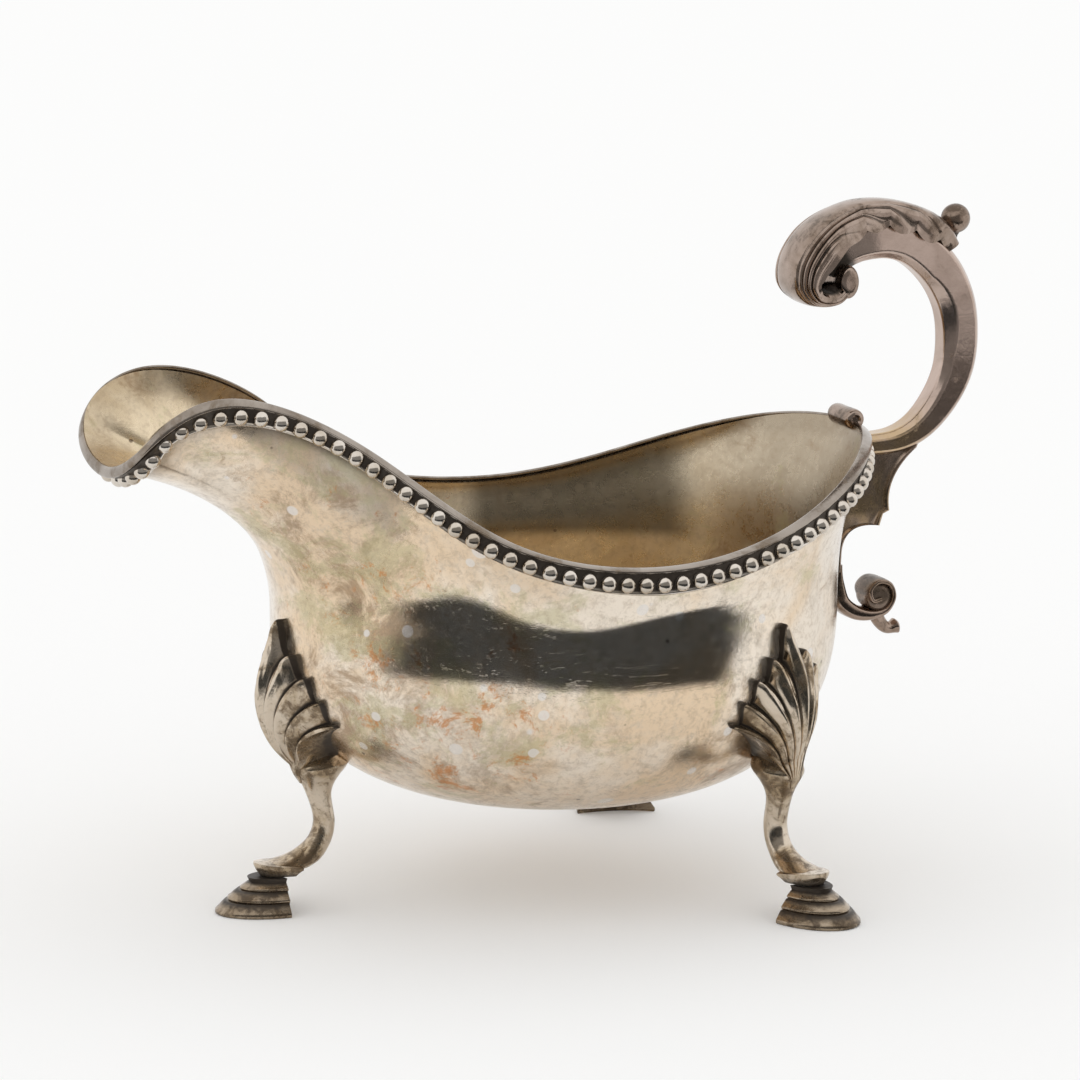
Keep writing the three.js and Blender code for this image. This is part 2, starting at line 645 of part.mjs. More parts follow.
function barrel(radius, length) {
  const half = [[0, -0.5], [0.62, -0.5], [0.88, -0.42], [1, -0.2]];
  const profile = [...half, ...half.toReversed().map(([r, h]) => [r, -h])];
  return new THREE.LatheGeometry(profile.map(([r, h]) => new THREE.Vector2(r * radius, h * length)), 12);
}

const curlEnd = leafLine.getPointAt(1).add(V(rollRadius * -0.45, 0, rollRadius * rollStretch - 0.6));
function leafBlade(grow = 0) {
  const steps = 24;
  return loft(Array.from({ length: steps + 1 }, (_, i) => leafSection(i / steps, grow)));
}

function leaf() {
  const rolledEnd = barrel(rollRadius, rollLength).scale(1, 1, rollStretch);
  const roll = solidFrom(rolledEnd.translate(curlEnd.x, 0, curlEnd.z));
  return mainBody(leafBlade().add(roll).subtract(arm(seam)));
}

// The ball knop stands on the outer end of the leaf
const leafTip = leafLine.getPointAt(0);
function knop() {
  const profile = [[0, 0], [1.1, 0], [1.4, 1.4]];
  const low = Math.asin(1.4 / knopRadius);
  const rise = 1.4 + knopRadius * Math.cos(low);
  for (let i = 1; i <= 7; i++) {
    const a = low + ((Math.PI - low) * i) / 7;
    profile.push([Math.max(knopRadius * Math.sin(a), 0), rise - knopRadius * Math.cos(a)]);
  }
  profile[profile.length - 1][0] = 0;
  const body = new THREE.LatheGeometry(profile.map(([r, h]) => new THREE.Vector2(r, h)), 14);
  body.rotateX(Math.PI / 2);
  body.rotateY(radians(13));
  const standing = solidFrom(body.translate(leafTip.x - 1.1, 0, leafTip.z + 0.6));
  return mainBody(standing.subtract(leafBlade(seam)).subtract(arm(seam)));
}

function rimScroll() {
  const place = offRim(halfSpans, 0, 0);
  const roll = barrel(rimScrollRadius, rimScrollLength);
  const lying = solidFrom(roll.translate(place.x - 1.9, 0, place.z + rimScrollRadius - 1));
  return mainBody(lying.subtract(bowlBlock()));
}

// The bracket under the arm: a cusped web against the bowl, a lower volute and its hooked tail
function lowerBracket() {
  const outline = new THREE.Shape();
  const top = 2.9;
  const line = (place) => outline.lineTo(place.x, place.z);
  const cove = (bend, place) => outline.quadraticCurveTo(bend.x, bend.z, place.x, place.z);
  const start = onBracket(-0.6, top);
  outline.moveTo(start.x, start.z);
  line(onBracket(22.4, top));
  line(onBracket(21.2, 5.7));
  cove(onBracket(14, 11.3), onBracket(15.2, 18.3));
  line(onBracket(13.5, 19.1));
  line(onBracket(13, 21.4));
  cove(onBracket(4.5, 19.7), onBracket(4.5, 27.3));
  cove(onBracket(4.9, 31.3), onBracket(7.7, 33.9));
  line(onBracket(10.9, 31.9));
  line(onBracket(11.5, 40.1));
  cove(onBracket(5.3, 40.7), onBracket(2.9, 37.3));
  line(onBracket(-0.6, 36.9));
  outline.closePath();
  const web = new THREE.ExtrudeGeometry(outline, {
    depth: webThickness - 0.8, steps: 1, curveSegments: 8,
    bevelEnabled: true, bevelThickness: 0.4, bevelSize: 0.3, bevelOffset: -0.3, bevelSegments: 1,
  });
  web.translate(0, 0, 0.4 - webThickness / 2);
  web.rotateX(Math.PI / 2);
  const voluteEye = onBracket(12.6, 36.1);
  const volute = barrel(voluteRadius, voluteWidth).translate(voluteEye.x, 0, voluteEye.z);
  const tailLine = new THREE.CatmullRomCurve3([
    onBracket(13, 38.5), onBracket(13.8, 41.1), onBracket(15.8, 43.1), onBracket(18.4, 42.7),
  ]);
  const rings = [];
  for (let i = 0; i <= 8; i++) {
    const s = i / 8;
    const centre = tailLine.getPoint(s), tangent = tailLine.getTangent(s);
    const radius = tailRadius * (1.1 - 0.45 * s + 0.5 * bump(s - 1, 0.16));
    rings.push(Array.from({ length: 8 }, (_, j) => {
      const a = (Math.PI * j) / 4;
      const turn = V(-tangent.z, 0, tangent.x).multiplyScalar(radius * Math.cos(a));
      return centre.clone().add(turn).setY(radius * 1.2 * Math.sin(a));
    }));
  }
  const solid = solidFrom(web).add(solidFrom(volute)).add(loft(rings));
  return mainBody(solid.subtract(bowlBlock()).subtract(arm(seam)));
}

const frontLeg = legFrame(-frontStance, 0, 180);
const rearLeft = legFrame(rearStance, rearSpread, rearSplay, shellLean);
const rearRight = legFrame(rearStance, -rearSpread, -rearSplay, -shellLean);

addNode('body_shell', bowlShell(), 0xb9ae9a);
addNode('rim_wire', rimWire(), 0xc4bcae);
addNode('bead_strip_left', beadStrip(1), 0xa59c8e);
addNode('bead_strip_right', beadStrip(-1), 0xa59c8e);
addNode('handle_scroll_arm', mainBody(arm().subtract(bowlBlock())), 0xae9f8f);
addNode('handle_leaf_cap', leaf(), 0xa39484);
addNode('handle_ball_knop', knop(), 0x9a8c7d);
addNode('handle_rim_scroll', rimScroll(), 0x9f9283);
addNode('handle_lower_bracket', lowerBracket(), 0x97856f);
addNode('leg_front', leg(frontLeg), 0x9c8f7c);
addNode('leg_rear_left', leg(rearLeft), 0x9c8f7c);
addNode('leg_rear_right', leg(rearRight), 0x9c8f7c);
addNode('foot_front', foot(frontLeg), 0x86796a);
addNode('foot_rear_left', foot(rearLeft), 0x86796a);
addNode('foot_rear_right', foot(rearRight), 0x86796a);

// The frame's origin is on the table, midway between the lip and the handle
boat.position.x = (lipReach - handleReach) / 2;

export default boat;
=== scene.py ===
# A tarnished silver sauce boat on three shell-and-hoof legs, with a beaded rim and a scroll handle.
# Shapes are worked out in millimetres from a datum on the table; the frame's origin is midway
# between the pouring lip and the handle. The lip points to -X and the boat is symmetric about XZ.
import math

import bpy
import numpy as np
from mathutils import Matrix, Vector


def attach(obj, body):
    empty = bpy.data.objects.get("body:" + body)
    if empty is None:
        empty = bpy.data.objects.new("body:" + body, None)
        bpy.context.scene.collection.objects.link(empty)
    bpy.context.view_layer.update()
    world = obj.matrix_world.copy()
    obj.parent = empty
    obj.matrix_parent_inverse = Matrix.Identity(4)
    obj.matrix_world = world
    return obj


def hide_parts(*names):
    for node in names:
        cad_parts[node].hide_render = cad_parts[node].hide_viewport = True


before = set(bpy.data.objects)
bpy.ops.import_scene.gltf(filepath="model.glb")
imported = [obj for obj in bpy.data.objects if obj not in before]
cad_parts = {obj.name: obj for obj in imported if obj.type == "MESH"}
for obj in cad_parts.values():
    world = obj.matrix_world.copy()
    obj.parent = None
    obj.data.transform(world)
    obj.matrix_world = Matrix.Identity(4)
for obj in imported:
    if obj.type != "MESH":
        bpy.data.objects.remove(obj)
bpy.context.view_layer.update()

MM = 0.001

# General sizes
SEAM = 0.3
WALL = 1.2
LIP_REACH = 82.5
RIM_REACH = 81.6
HANDLE_REACH = 105.5
DATUM = (LIP_REACH - HANDLE_REACH) / 2

# Bowl
UNDERSIDE_HEIGHT = 17.9
BELLY_RISE = 40.8
BELLY_HALF_LENGTH = 58.0
BELLY_HALF_WIDTH = 51.4
BELLY_CENTRE = 12.6
UNDERSIDE_CENTRE = 17.0
BELLY_FULLNESS = 2.6
RIM_LOW = UNDERSIDE_HEIGHT + 55.0
BELLY_HEIGHT = UNDERSIDE_HEIGHT + BELLY_RISE
RIM_HALF_WIDTH = 53.5
THROAT_HALF_WIDTH = 22.0
LIP_RISE = 37.0
HANDLE_RISE = 16.0
SIDE_TILT, LIP_TILT, HEEL_TILT = 78.0, 8.0, 60.0
LIP_SPAN, HEEL_SPAN = 2.2, 1.5

# Rim mouldings
RIM_HEIGHT = 0.9
RIM_INSET = 1.7
RIM_OVERHANG = 0.6
WALL_INSET = 0.5
STRIP_BOTTOM = 4.95
STRIP_THICKNESS = 0.7
BEAD_RADIUS = 1.6
BEAD_PITCH = 4.0
FIRST_BEAD = 2.9
BEAD_DROP = 3.0
BEAD_STAND = 1.05

# Legs and feet
FOOT_LENGTH, FOOT_WIDTH, FOOT_HEIGHT = 12.8, 16.5, 7.0
FOOT_HOLLOW = 1.8
FRONT_STANCE, REAR_STANCE, REAR_SPREAD, REAR_SPLAY = 47.0, 46.8, 47.1, 74.6
ANKLE_HEIGHT = 2.4
ANKLE_TOP = FOOT_HEIGHT + SEAM + ANKLE_HEIGHT
SHANK_THICKNESS, SHANK_WIDTH, SHANK_SET = 4.2, 5.1, 10.0
WAIST_HEIGHT = 17.2
KNEE_FLARE = 5.0
SHELL_FOOT, SHELL_LENGTH = 27.0, 31.5
SHELL_SHOULDER, SHELL_SIDE = 28.3, 18.6
SHELL_BULGE = 7.4
SHELL_SPREAD = 50.0
SHELL_TAIL = 2.6
SHELL_LEAN = 2.0
SHELL_EDGE_HEIGHT, SHELL_SEAT = 0.45, 0.7
SIDE_FLUTES = 4
FLUTE_DEPTH = 1.1

# Handle
ARM_THICKNESS, ARM_WIDTH, ROOT_THICKNESS = 7.9, 7.0, 4.4
ARM_BEVEL, HOLLOW_BEVEL, ARM_EDGE_RADIUS = 1.5, 1.3, 0.32
CREST = 134.5
LEAF_THICKNESS, LEAF_WIDTH = 1.8, 16.5
LOBE_DEPTH, LOBE_PITCH, LOBE_START = 1.5, 7.1, 77.2
ROLL_RADIUS, ROLL_STRETCH, ROLL_LENGTH = 2.3, 1.5, 11.0
KNOP_RADIUS, KNOP_LEAN = 3.0, 13.0
NECK_RADIUS, NECK_HEIGHT = 1.4, 1.4
RIM_SCROLL_RADIUS, RIM_SCROLL_LENGTH = 2.1, 10.0
WEB_THICKNESS = 4.6
VOLUTE_RADIUS, VOLUTE_WIDTH = 4.0, 7.4
TAIL_RADIUS = 1.5


def mix(a, b, t):
    return a + (b - a) * t


def bump(x, width):
    return np.exp(-((x / width) ** 2))


def smooth(x, low, high):
    t = np.clip((np.asarray(x, float) - low) / (high - low), 0, 1)
    return t * t * (3 - 2 * t)


def unit(v):
    return v / np.linalg.norm(v, axis=-1, keepdims=True)


def points(x, y, z):
    return np.stack(np.broadcast_arrays(x, y, z), -1).astype(float)


def loop(count, whole=2 * math.pi):
    """Even steps round a closed line; the step after the last would be the first again."""
    return np.linspace(0, whole, count + 1)[:-1]


def squared(x, power):
    """A sine or cosine filled out, so that the round it draws becomes squarer."""
    return np.sign(x) * np.abs(x) ** power


def square_on(tangent):
    """Directions square on a line in the boat's centre plane, within that plane."""
    return points(-tangent[:, 2], 0, tangent[:, 0])


def swept(centre, level, rise, width):
    """Rings round a line in the centre plane: rise runs along level, width across the boat."""
    at = centre[:, None] + level[:, None] * rise[..., None]
    at[..., 1] = width
    return at


class Curve:
    """A smooth line through points, a centripetal Catmull-Rom spline."""

    def __init__(self, *through):
        p = np.array(through, float)
        self.net = np.vstack([2 * p[0] - p[1], p, 2 * p[-1] - p[-2]])
        self.steps = np.linspace(0, 1, 1001)
        gaps = np.linalg.norm(np.diff(self.at(self.steps), axis=0), axis=1)
        run = np.concatenate([[0], np.cumsum(gaps)])
        self.run = run / run[-1]

    def at(self, t):
        count = len(self.net) - 3
        s = np.clip(np.asarray(t, float) * count, 0, count - 1e-9)
        i = s.astype(int)
        w = (s - i)[..., None]
        p0, p1, p2, p3 = (self.net[i + k] for k in range(4))
        d0, d1, d2 = (np.linalg.norm(b - a, axis=-1, keepdims=True) ** 0.5
                      for a, b in ((p0, p1), (p1, p2), (p2, p3)))
        t1 = ((p1 - p0) / d0 - (p2 - p0) / (d0 + d1) + (p2 - p1) / d1) * d1
        t2 = ((p2 - p1) / d1 - (p3 - p1) / (d1 + d2) + (p3 - p2) / d2) * d1
        return p1 + w * (t1 + w * (3 * (p2 - p1) - 2 * t1 - t2 + w * (2 * (p1 - p2) + t1 + t2)))

    def even(self, s):
        return self.at(np.interp(s, self.run, self.steps))

    def heading(self, s):
        return unit(self.even(np.minimum(s + 0.002, 1)) - self.even(np.maximum(s - 0.002, 0)))


class Skin:
    """Gathers grids of points, in millimetres from the datum, into one smooth mesh. Each point also carries
    how deep in a hollow it lies, from 0 to 1, which its finish darkens: painted shade in the recesses, along
    with the tarnish that gathers there."""

    def __init__(self):
        self.points, self.faces, self.hollow, self.inside = [], [], [], []
        self.count = 0

    def grid(self, at, hollow=0.0, inside=0.0, hoop=False, zipped=False):
        """Rows of closed rings. A flat face closes each end, or the two halves of the end's ring are
        zipped together, or the last row joins the first."""
        rows, columns = at.shape[:2]
        index = self.count + np.arange(rows * columns).reshape(rows, columns)
        ring = np.hstack([index, index[:, :1]])
        if hoop:
            ring = np.vstack([ring, ring[:1]])
        quads = np.stack([ring[:-1, :-1], ring[:-1, 1:], ring[1:, 1:], ring[1:, :-1]], -1).reshape(-1, 4)
        faces = quads.tolist()
        for end in [] if hoop else [index[0][::-1].tolist(), index[-1].tolist()]:
            if zipped:
                half = range(columns // 2 - 1)
                faces += [[end[k], end[k + 1], end[-2 - k], end[-1 - k]] for k in half]
            else:
                faces.append(end)
        corners = at.reshape(-1, 3)
        about_middle = (corners - corners.mean(0))[quads - self.count]
        facing = np.cross(about_middle[:, 2] - about_middle[:, 0], about_middle[:, 3] - about_middle[:, 1])
        if np.sum(facing * about_middle.mean(1)) < 0:
            faces = [face[::-1] for face in faces]
        self.points.append(corners)
        self.hollow.append(np.broadcast_to(hollow, (rows, columns)).ravel())
        self.inside.append(np.broadcast_to(inside, (rows, columns)).ravel())
        self.faces += faces
        self.count += len(corners)

    def piece(self, name, node, finish, sharp):
        """The finished piece in place of its node; edges over the sharp angle stay crisp."""
        mesh = bpy.data.meshes.new(name)
        at = (np.vstack(self.points) + [DATUM, 0, 0]) * MM
        mesh.from_pydata(at.tolist(), [], self.faces)
        for label, values in (("hollow", self.hollow), ("inside", self.inside)):
            layer = mesh.attributes.new(label, "FLOAT", "POINT")
            layer.data.foreach_set("value", np.concatenate(values).astype(np.float32))
        mesh.shade_smooth()
        mesh.set_sharp_from_angle(angle=math.radians(sharp))
        made = bpy.data.objects.new(name, mesh)
        bpy.context.scene.collection.objects.link(made)
        made.data.materials.append(finish)
        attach(made, "root")
        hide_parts(node)


# The rim's edge line: a closed B-spline over stations from the lip's tip to the handle
HALF_NET = np.array([
    (-LIP_REACH, 0, RIM_LOW + LIP_RISE - 22.4),
    (-LIP_REACH - 0.9, THROAT_HALF_WIDTH, RIM_LOW + LIP_RISE - 13.6),
    (-LIP_REACH + 15.5, THROAT_HALF_WIDTH - 0.7, RIM_LOW + LIP_RISE + 0.6),
    (-LIP_REACH + 44.7, THROAT_HALF_WIDTH + 1.8, RIM_LOW + LIP_RISE - 11.6),
    (BELLY_CENTRE - 33.1, RIM_HALF_WIDTH + 0.8, RIM_LOW + 4.1),
    (BELLY_CENTRE + 10.7, RIM_HALF_WIDTH - 1.4, RIM_LOW - 2),
    (RIM_REACH - 27.1, RIM_HALF_WIDTH - 10.3, RIM_LOW + HANDLE_RISE - 7.7),
    (RIM_REACH - 8.9, THROAT_HALF_WIDTH + 0.6, RIM_LOW + HANDLE_RISE - 0.1),
    (RIM_REACH, 0, RIM_LOW + HANDLE_RISE + 0.6),
])
HALF = len(HALF_NET) - 1
ROUND = 2 * HALF
RIM_NET = np.vstack([HALF_NET, HALF_NET[-2:0:-1] * [1, -1, 1]])


def rim_point(u):
    """The edge line: u runs from 0 at the lip's tip over HALF at the handle to ROUND."""
    span = np.floor(u).astype(int)
    t = u - span
    weights = (1 - t) ** 3, 3 * t**3 - 6 * t**2 + 4, -3 * t**3 + 3 * t**2 + 3 * t + 1, t**3
    return sum((w / 6)[..., None] * RIM_NET[(span + k - 1) % ROUND] for k, w in enumerate(weights))


def from_lip(u):
    """Stations away from the lip's tip, the shorter way round."""
    lapped = np.mod(u, ROUND)
    return np.minimum(lapped, ROUND - lapped)


def rim_frame(u):
    """The edge line and its own directions: up runs along the wall, out stands square on it."""
    along = unit((rim_point(u + 0.01) - rim_point(u - 0.01)) * [1, 1, 0])
    lip, heel = bump(from_lip(u), LIP_SPAN), bump(HALF - from_lip(u), HEEL_SPAN)
    tilt = np.radians(SIDE_TILT + (LIP_TILT - SIDE_TILT) * lip + (HEEL_TILT - SIDE_TILT) * heel)
    level = points(-along[..., 1], along[..., 0], 0)
    up = level * np.cos(tilt)[..., None]
    up[..., 2] = np.sin(tilt)
    out = level * np.sin(tilt)[..., None]
    out[..., 2] = -np.cos(tilt)
    return rim_point(u), up, out


def off_rim(u, out, up):
    """A place out from the edge line and up from it, in its own directions."""
    edge, rising, outward = rim_frame(u)
    return edge + outward * np.asarray(out)[..., None] + rising * np.asarray(up)[..., None]


MERIDIAN_EASE = 1.34
NECK_STIFFNESS, FLARE_STIFFNESS = 0.45, 0.22
BOWL_TOP_DROP = RIM_HEIGHT - 0.2
BOWL_END = 1.985
# The sides are drawn in at the belly down to a part of the underside, and flare out fully under
# the rim between two pairs of stations. Between lie two shallow dishes: depth, place along the
# boat, height, half length and half rise of each
SIDE_DRAW, DRAW_ENDS = 1.8, (1.2, 1.6)
SIDE_FLARE, FLARE_STARTS, FLARE_ENDS = 0.14, (1.2, 2.4), (6.2, 7.4)
DISHES = ((2.9, -39.5, 67.4, 13.0, 9.0), (0.8, 24.0, 64.0, 16.0, 5.0))


def belly_point(u):
    """The widest line, below each place of the rim."""
    angle = math.pi * (1 - (from_lip(u) / HALF) ** MERIDIAN_EASE)
    side = np.where(np.mod(u, ROUND) <= HALF, 1, -1)
    return points(BELLY_CENTRE + BELLY_HALF_LENGTH * np.cos(angle),
                  side * BELLY_HALF_WIDTH * np.sin(angle), BELLY_HEIGHT)


def bowl_point(u, v):
    """Outside of the bowl: v runs from 0 at the rim through 1 at the widest line to 2 underneath."""
    u, v = np.broadcast_arrays(np.asarray(u, float), np.asarray(v, float))
    belly = belly_point(u)
    belly[..., 1] *= 1 - SIDE_DRAW / BELLY_HALF_WIDTH * (1 - smooth(v, *DRAW_ENDS))
    top = off_rim(u, np.full(u.shape, -WALL_INSET), np.full(u.shape, -BOWL_TOP_DROP))
    length = np.linalg.norm(top - belly, axis=-1, keepdims=True)
    _, rising, outward = rim_frame(u)
    full = SIDE_FLARE * smooth(from_lip(u), *FLARE_STARTS) * (1 - smooth(from_lip(u), *FLARE_ENDS))
    flare = top + (unit(outward * [1, 1, 0]) * full[..., None] - rising * FLARE_STIFFNESS) * length
    neck = belly + [0, 0, 1] * (NECK_STIFFNESS * length)
    w = np.clip(v, 0, 1)[..., None]
    wall = (1 - w) ** 3 * top + 3 * (1 - w) ** 2 * w * flare + 3 * (1 - w) * w**2 * neck + w**3 * belly
    turn = (np.clip(v, 1, 2) - 1) * math.pi / 2
    spread = np.maximum(np.cos(turn), 0) ** (2 / BELLY_FULLNESS)
    drop = np.sin(turn) ** (2 / BELLY_FULLNESS)
    under = points(mix(UNDERSIDE_CENTRE, belly[..., 0], spread), belly[..., 1] * spread,
                   BELLY_HEIGHT - BELLY_RISE * drop)
    skin = np.where((v <= 1)[..., None], wall, under)
    from_middle = unit((skin - [BELLY_CENTRE, 0, 0]) * [1, 1, 0] + 1e-9)
    sunk = sum(depth * bump(skin[..., 0] - along, reach) * bump(skin[..., 2] - height, rise)
               for depth, along, height, reach, rise in DISHES)
    on_side = smooth(np.abs(skin[..., 1]), 10, 24) * smooth(v, 0, 0.25)
    return skin - from_middle * (sunk * on_side)[..., None]


def bowl_normal(u, v):
    """The way out from the wall, square on it."""
    w = np.clip(v, 0.004, 1.97)
    across = bowl_point(u + 0.01, w) - bowl_point(u - 0.01, w)
    down = bowl_point(u, w + 0.003) - bowl_point(u, w - 0.003)
    return unit(np.cross(across, down))


def on_wall(u, depth, off):
    """A place on the wall, a depth below the rim's edge line, moved out from the wall's skin."""
    u, depth, off = np.broadcast_arrays(*(np.asarray(k, float) for k in (u, depth, off)))
    top = bowl_point(u, np.zeros(u.shape))
    low, high = np.zeros(u.shape), np.full(u.shape, 0.6)
    for _ in range(16):
        middle = (low + high) / 2
        above = np.linalg.norm(bowl_point(u, middle) - top, axis=-1) < depth - BOWL_TOP_DROP
        low, high = np.where(above, middle, low), np.where(above, high, middle)
    return bowl_point(u, low) + bowl_normal(u, low) * off[..., None]


# What lies this far over the rim is past the wall and stays where it is
OVER_RIM = 4


def clear_of_bowl(at):
    """Points of a piece on the handle's side, none of them closer to the wall than a seam."""
    rows = np.linspace(0, 1.6, 200)
    middle, beside = bowl_point(float(HALF), rows), bowl_point(HALF - 0.35, rows)
    bend = (middle[:, 0] - beside[:, 0]) / beside[:, 1] ** 2
    reach, height, bend = middle[::-1, 0], middle[::-1, 2], bend[::-1]
    z = np.clip(at[..., 2], height[0], height[-1])
    wall = np.interp(z, height, reach) - np.interp(z, height, bend) * at[..., 1] ** 2
    over_rim = at[..., 2] > height[-1] + OVER_RIM
    held = at.copy()
    held[..., 0] = np.where(over_rim, at[..., 0], np.maximum(at[..., 0], wall + SEAM))
    return held


def bowl(finish):
    """The raised sheet: its outside from underneath up to the rim, then its inside down again."""
    u = loop(384, ROUND)
    v = np.concatenate([np.linspace(0, 0.2, 9)[:-1], np.linspace(0.2, 1, 33)[:-1],
                        1 + np.linspace(0, 1, 41)[:-1] ** 0.8])
    v[-1] = BOWL_END
    grid_u, grid_v = np.meshgrid(u, v)
    outside, normal = bowl_point(grid_u, grid_v), bowl_normal(grid_u, grid_v)
    # The hollow value darkens the outside under the rim's mouldings, and faintly the inside below the rim:
    # painted shade, along with tarnish.
    under_rim = np.broadcast_to(1 - smooth(v, 0.1, 0.24)[:, None], grid_u.shape)
    skin = Skin()
    rows = np.concatenate([outside[::-1], outside - normal * WALL])
    hollow = np.concatenate([under_rim[::-1], under_rim * 0.3])
    inside = np.concatenate([np.zeros(grid_u.shape), np.ones(grid_u.shape)])
    skin.grid(rows, hollow, inside)
    skin.piece("bowl", "body_shell", finish, 80)


def rim_moulding(finish):
    """The rounded moulding along the top edge, all round."""
    u, turn = loop(480, ROUND), loop(24)
    half_width, half_height = (RIM_OVERHANG + RIM_INSET) / 2, RIM_HEIGHT / 2
    across = squared(np.cos(turn), 0.7) * half_width
    crown = squared(np.sin(turn), 0.8) * half_height
    grid_u, grid_out = np.meshgrid(u, across + half_width - RIM_INSET, indexing="ij")
    _, grid_up = np.meshgrid(u, crown - half_height, indexing="ij")
    # The moulding's underside, where it meets the wall, is darkened: painted shade, along with tarnish.
    hollow = smooth(-grid_up, 0.55, 0.85) * smooth(grid_out, -0.6, 0.4)
    skin = Skin()
    skin.grid(off_rim(grid_u, grid_out, grid_up), hollow, hoop=True)
    skin.piece("rim_moulding", "rim_wire", finish, 60)


def globe(centre, axis, radius):
    """Rings of a bead about its own axis, with how near its base each ring lies."""
    axis = unit(np.asarray(axis, float))
    side = unit(np.cross(axis, [0.31, 0.42, 0.85]))
    third = np.cross(axis, side)
    polar, turn = np.linspace(0.12, math.pi * 0.72, 9)[:, None, None], loop(16)[None, :, None]
    ring = np.sin(polar) * (side * np.cos(turn) + third * np.sin(turn)) + np.cos(polar) * axis
    # The second value darkens each bead's base where it sits on the strip: painted shade.
    return np.asarray(centre) + radius * ring, 0.9 * smooth(polar[..., 0], 1.35, 1.8)


# Section of the strip: depth below the rim's edge line, height off the wall, and how hollow, which darkens
# the channel below the rim and the strip's seams against the wall as painted shade, along with tarnish
STRIP_FACE = SEAM + STRIP_THICKNESS
STRIP_SECTION = np.array([
    (BOWL_TOP_DROP, SEAM, 0.9),
    (BOWL_TOP_DROP, STRIP_FACE, 0.8),
    (STRIP_BOTTOM - 0.95, STRIP_FACE, 0.8),
    (STRIP_BOTTOM - 0.8, STRIP_FACE + 0.16, 0.6),
    (STRIP_BOTTOM - 0.6, STRIP_FACE + 0.34, 0.15),
    (STRIP_BOTTOM - 0.35, STRIP_FACE + 0.38, 0),
    (STRIP_BOTTOM - 0.1, STRIP_FACE + 0.24, 0.2),
    (STRIP_BOTTOM, STRIP_FACE, 0.7),
    (STRIP_BOTTOM, SEAM, 0.9),
])


def beading(side, name, node, finish):
    """The beaded wire of one side: a flat strip with a raised lower edge, and a row of beads."""
    fine = np.linspace(0, HALF, 2001)
    line = on_wall(fine, BEAD_DROP, BEAD_STAND)
    run = np.concatenate([[0], np.cumsum(np.linalg.norm(np.diff(line, axis=0), axis=1))])
    start = np.interp(SEAM / 2 + 0.15, run, fine)
    reach = np.abs(on_wall(fine, STRIP_BOTTOM, 0)[:, 1])
    end = fine[np.nonzero(reach > ARM_WIDTH / 2 + 1.6 * SEAM)[0][-1]]

    depth, off, hollow = STRIP_SECTION.T
    mirror = np.array([1, side, 1])
    skin = Skin()
    skin.grid(on_wall(np.linspace(start, end, 260)[:, None], depth, off) * mirror, hollow)
    places = np.arange(FIRST_BEAD, np.interp(end, fine, run) - 1.2 * BEAD_RADIUS, BEAD_PITCH)
    where = np.interp(places, run, fine)
    centres = on_wall(where, BEAD_DROP, BEAD_STAND)
    outward = on_wall(where, BEAD_DROP, BEAD_STAND + 1) - centres
    for centre, axis in zip(centres, outward):
        rings, base = globe(centre * mirror, axis * mirror, BEAD_RADIUS)
        skin.grid(rings, base)
    skin.piece(name, node, finish, 40)


class LegFrame:
    """A leg's own frame: out is the toe's direction, across is square to it."""

    def __init__(self, x, y, degrees, lean=0.0):
        turn = math.radians(degrees)
        self.origin = np.array([x, y, 0.0])
        self.out = np.array([math.cos(turn), math.sin(turn), 0.0])
        self.across = np.array([-self.out[1], self.out[0], 0.0])
        self.lean = lean

    def place(self, r, t, z):
        """Points r out along the toe's direction, t across it and z high."""
        r, t, z = np.broadcast_arrays(*(np.asarray(k, float) for k in (r, t, z)))
        tip = SHELL_FOOT + SHELL_LENGTH
        t = t + self.lean * smooth(z, tip - SHELL_LENGTH / 3, tip)
        at = self.origin + r[..., None] * self.out + t[..., None] * self.across
        at[..., 2] = z
        return at

    def bowl_reach(self, t, z):
        """How far out the wall of the bowl stands."""
        height = np.clip(z, UNDERSIDE_HEIGHT, BELLY_HEIGHT)
        drop = (BELLY_HEIGHT - height) / BELLY_RISE
        spread = (1 - drop**BELLY_FULLNESS) ** (1 / BELLY_FULLNESS)
        centre = mix(UNDERSIDE_CENTRE, BELLY_CENTRE, spread)
        start = self.place(0, t, z)
        turned = np.arcsin(np.clip(drop, 0, 1) ** (BELLY_FULLNESS / 2)) / (math.pi / 2)
        drawn = SIDE_DRAW * (1 - smooth(turned, 0.2, 0.6))
        a, b = spread * BELLY_HALF_LENGTH + 1e-6, spread * (BELLY_HALF_WIDTH - drawn) + 1e-6
        qa = (self.out[0] / a) ** 2 + (self.out[1] / b) ** 2
        qb = (start[..., 0] - centre) * self.out[0] / a**2 + start[..., 1] * self.out[1] / b**2
        qc = ((start[..., 0] - centre) / a) ** 2 + (start[..., 1] / b) ** 2 - 1
        return (-qb + np.sqrt(np.maximum(qb * qb - qa * qc, 0))) / qa


# The shank's front and back, from the knee down to the ankle's lip
SHANK_FRONT = Curve(
    (-3.2, 0, SHELL_FOOT + 4.2), (-3.4, 0, SHELL_FOOT + 2.4), (-4.1, 0, SHELL_FOOT + 0.2),
    (-6.2, 0, WAIST_HEIGHT + 6), (-SHANK_SET + SHANK_THICKNESS / 2, 0, WAIST_HEIGHT),
    (-6.9, 0, WAIST_HEIGHT - 3.1), (-4.6, 0, ANKLE_TOP + 2.4), (-1.6, 0, ANKLE_TOP + 0.9),
    (1.6, 0, ANKLE_TOP + 0.1))
SHANK_BACK = Curve(
    (-18, 0, SHELL_FOOT + 8), (-16.4, 0, SHELL_FOOT + 3), (-13.2, 0, SHELL_FOOT - 0.4),
    (-11.5, 0, WAIST_HEIGHT + 6), (-SHANK_SET - SHANK_THICKNESS / 2, 0, WAIST_HEIGHT - 0.4),
    (-11.4, 0, WAIST_HEIGHT - 4), (-9.2, 0, ANKLE_TOP), (-6.2, 0, ANKLE_TOP - 1.6), (-2.4, 0, ANKLE_TOP - 2))


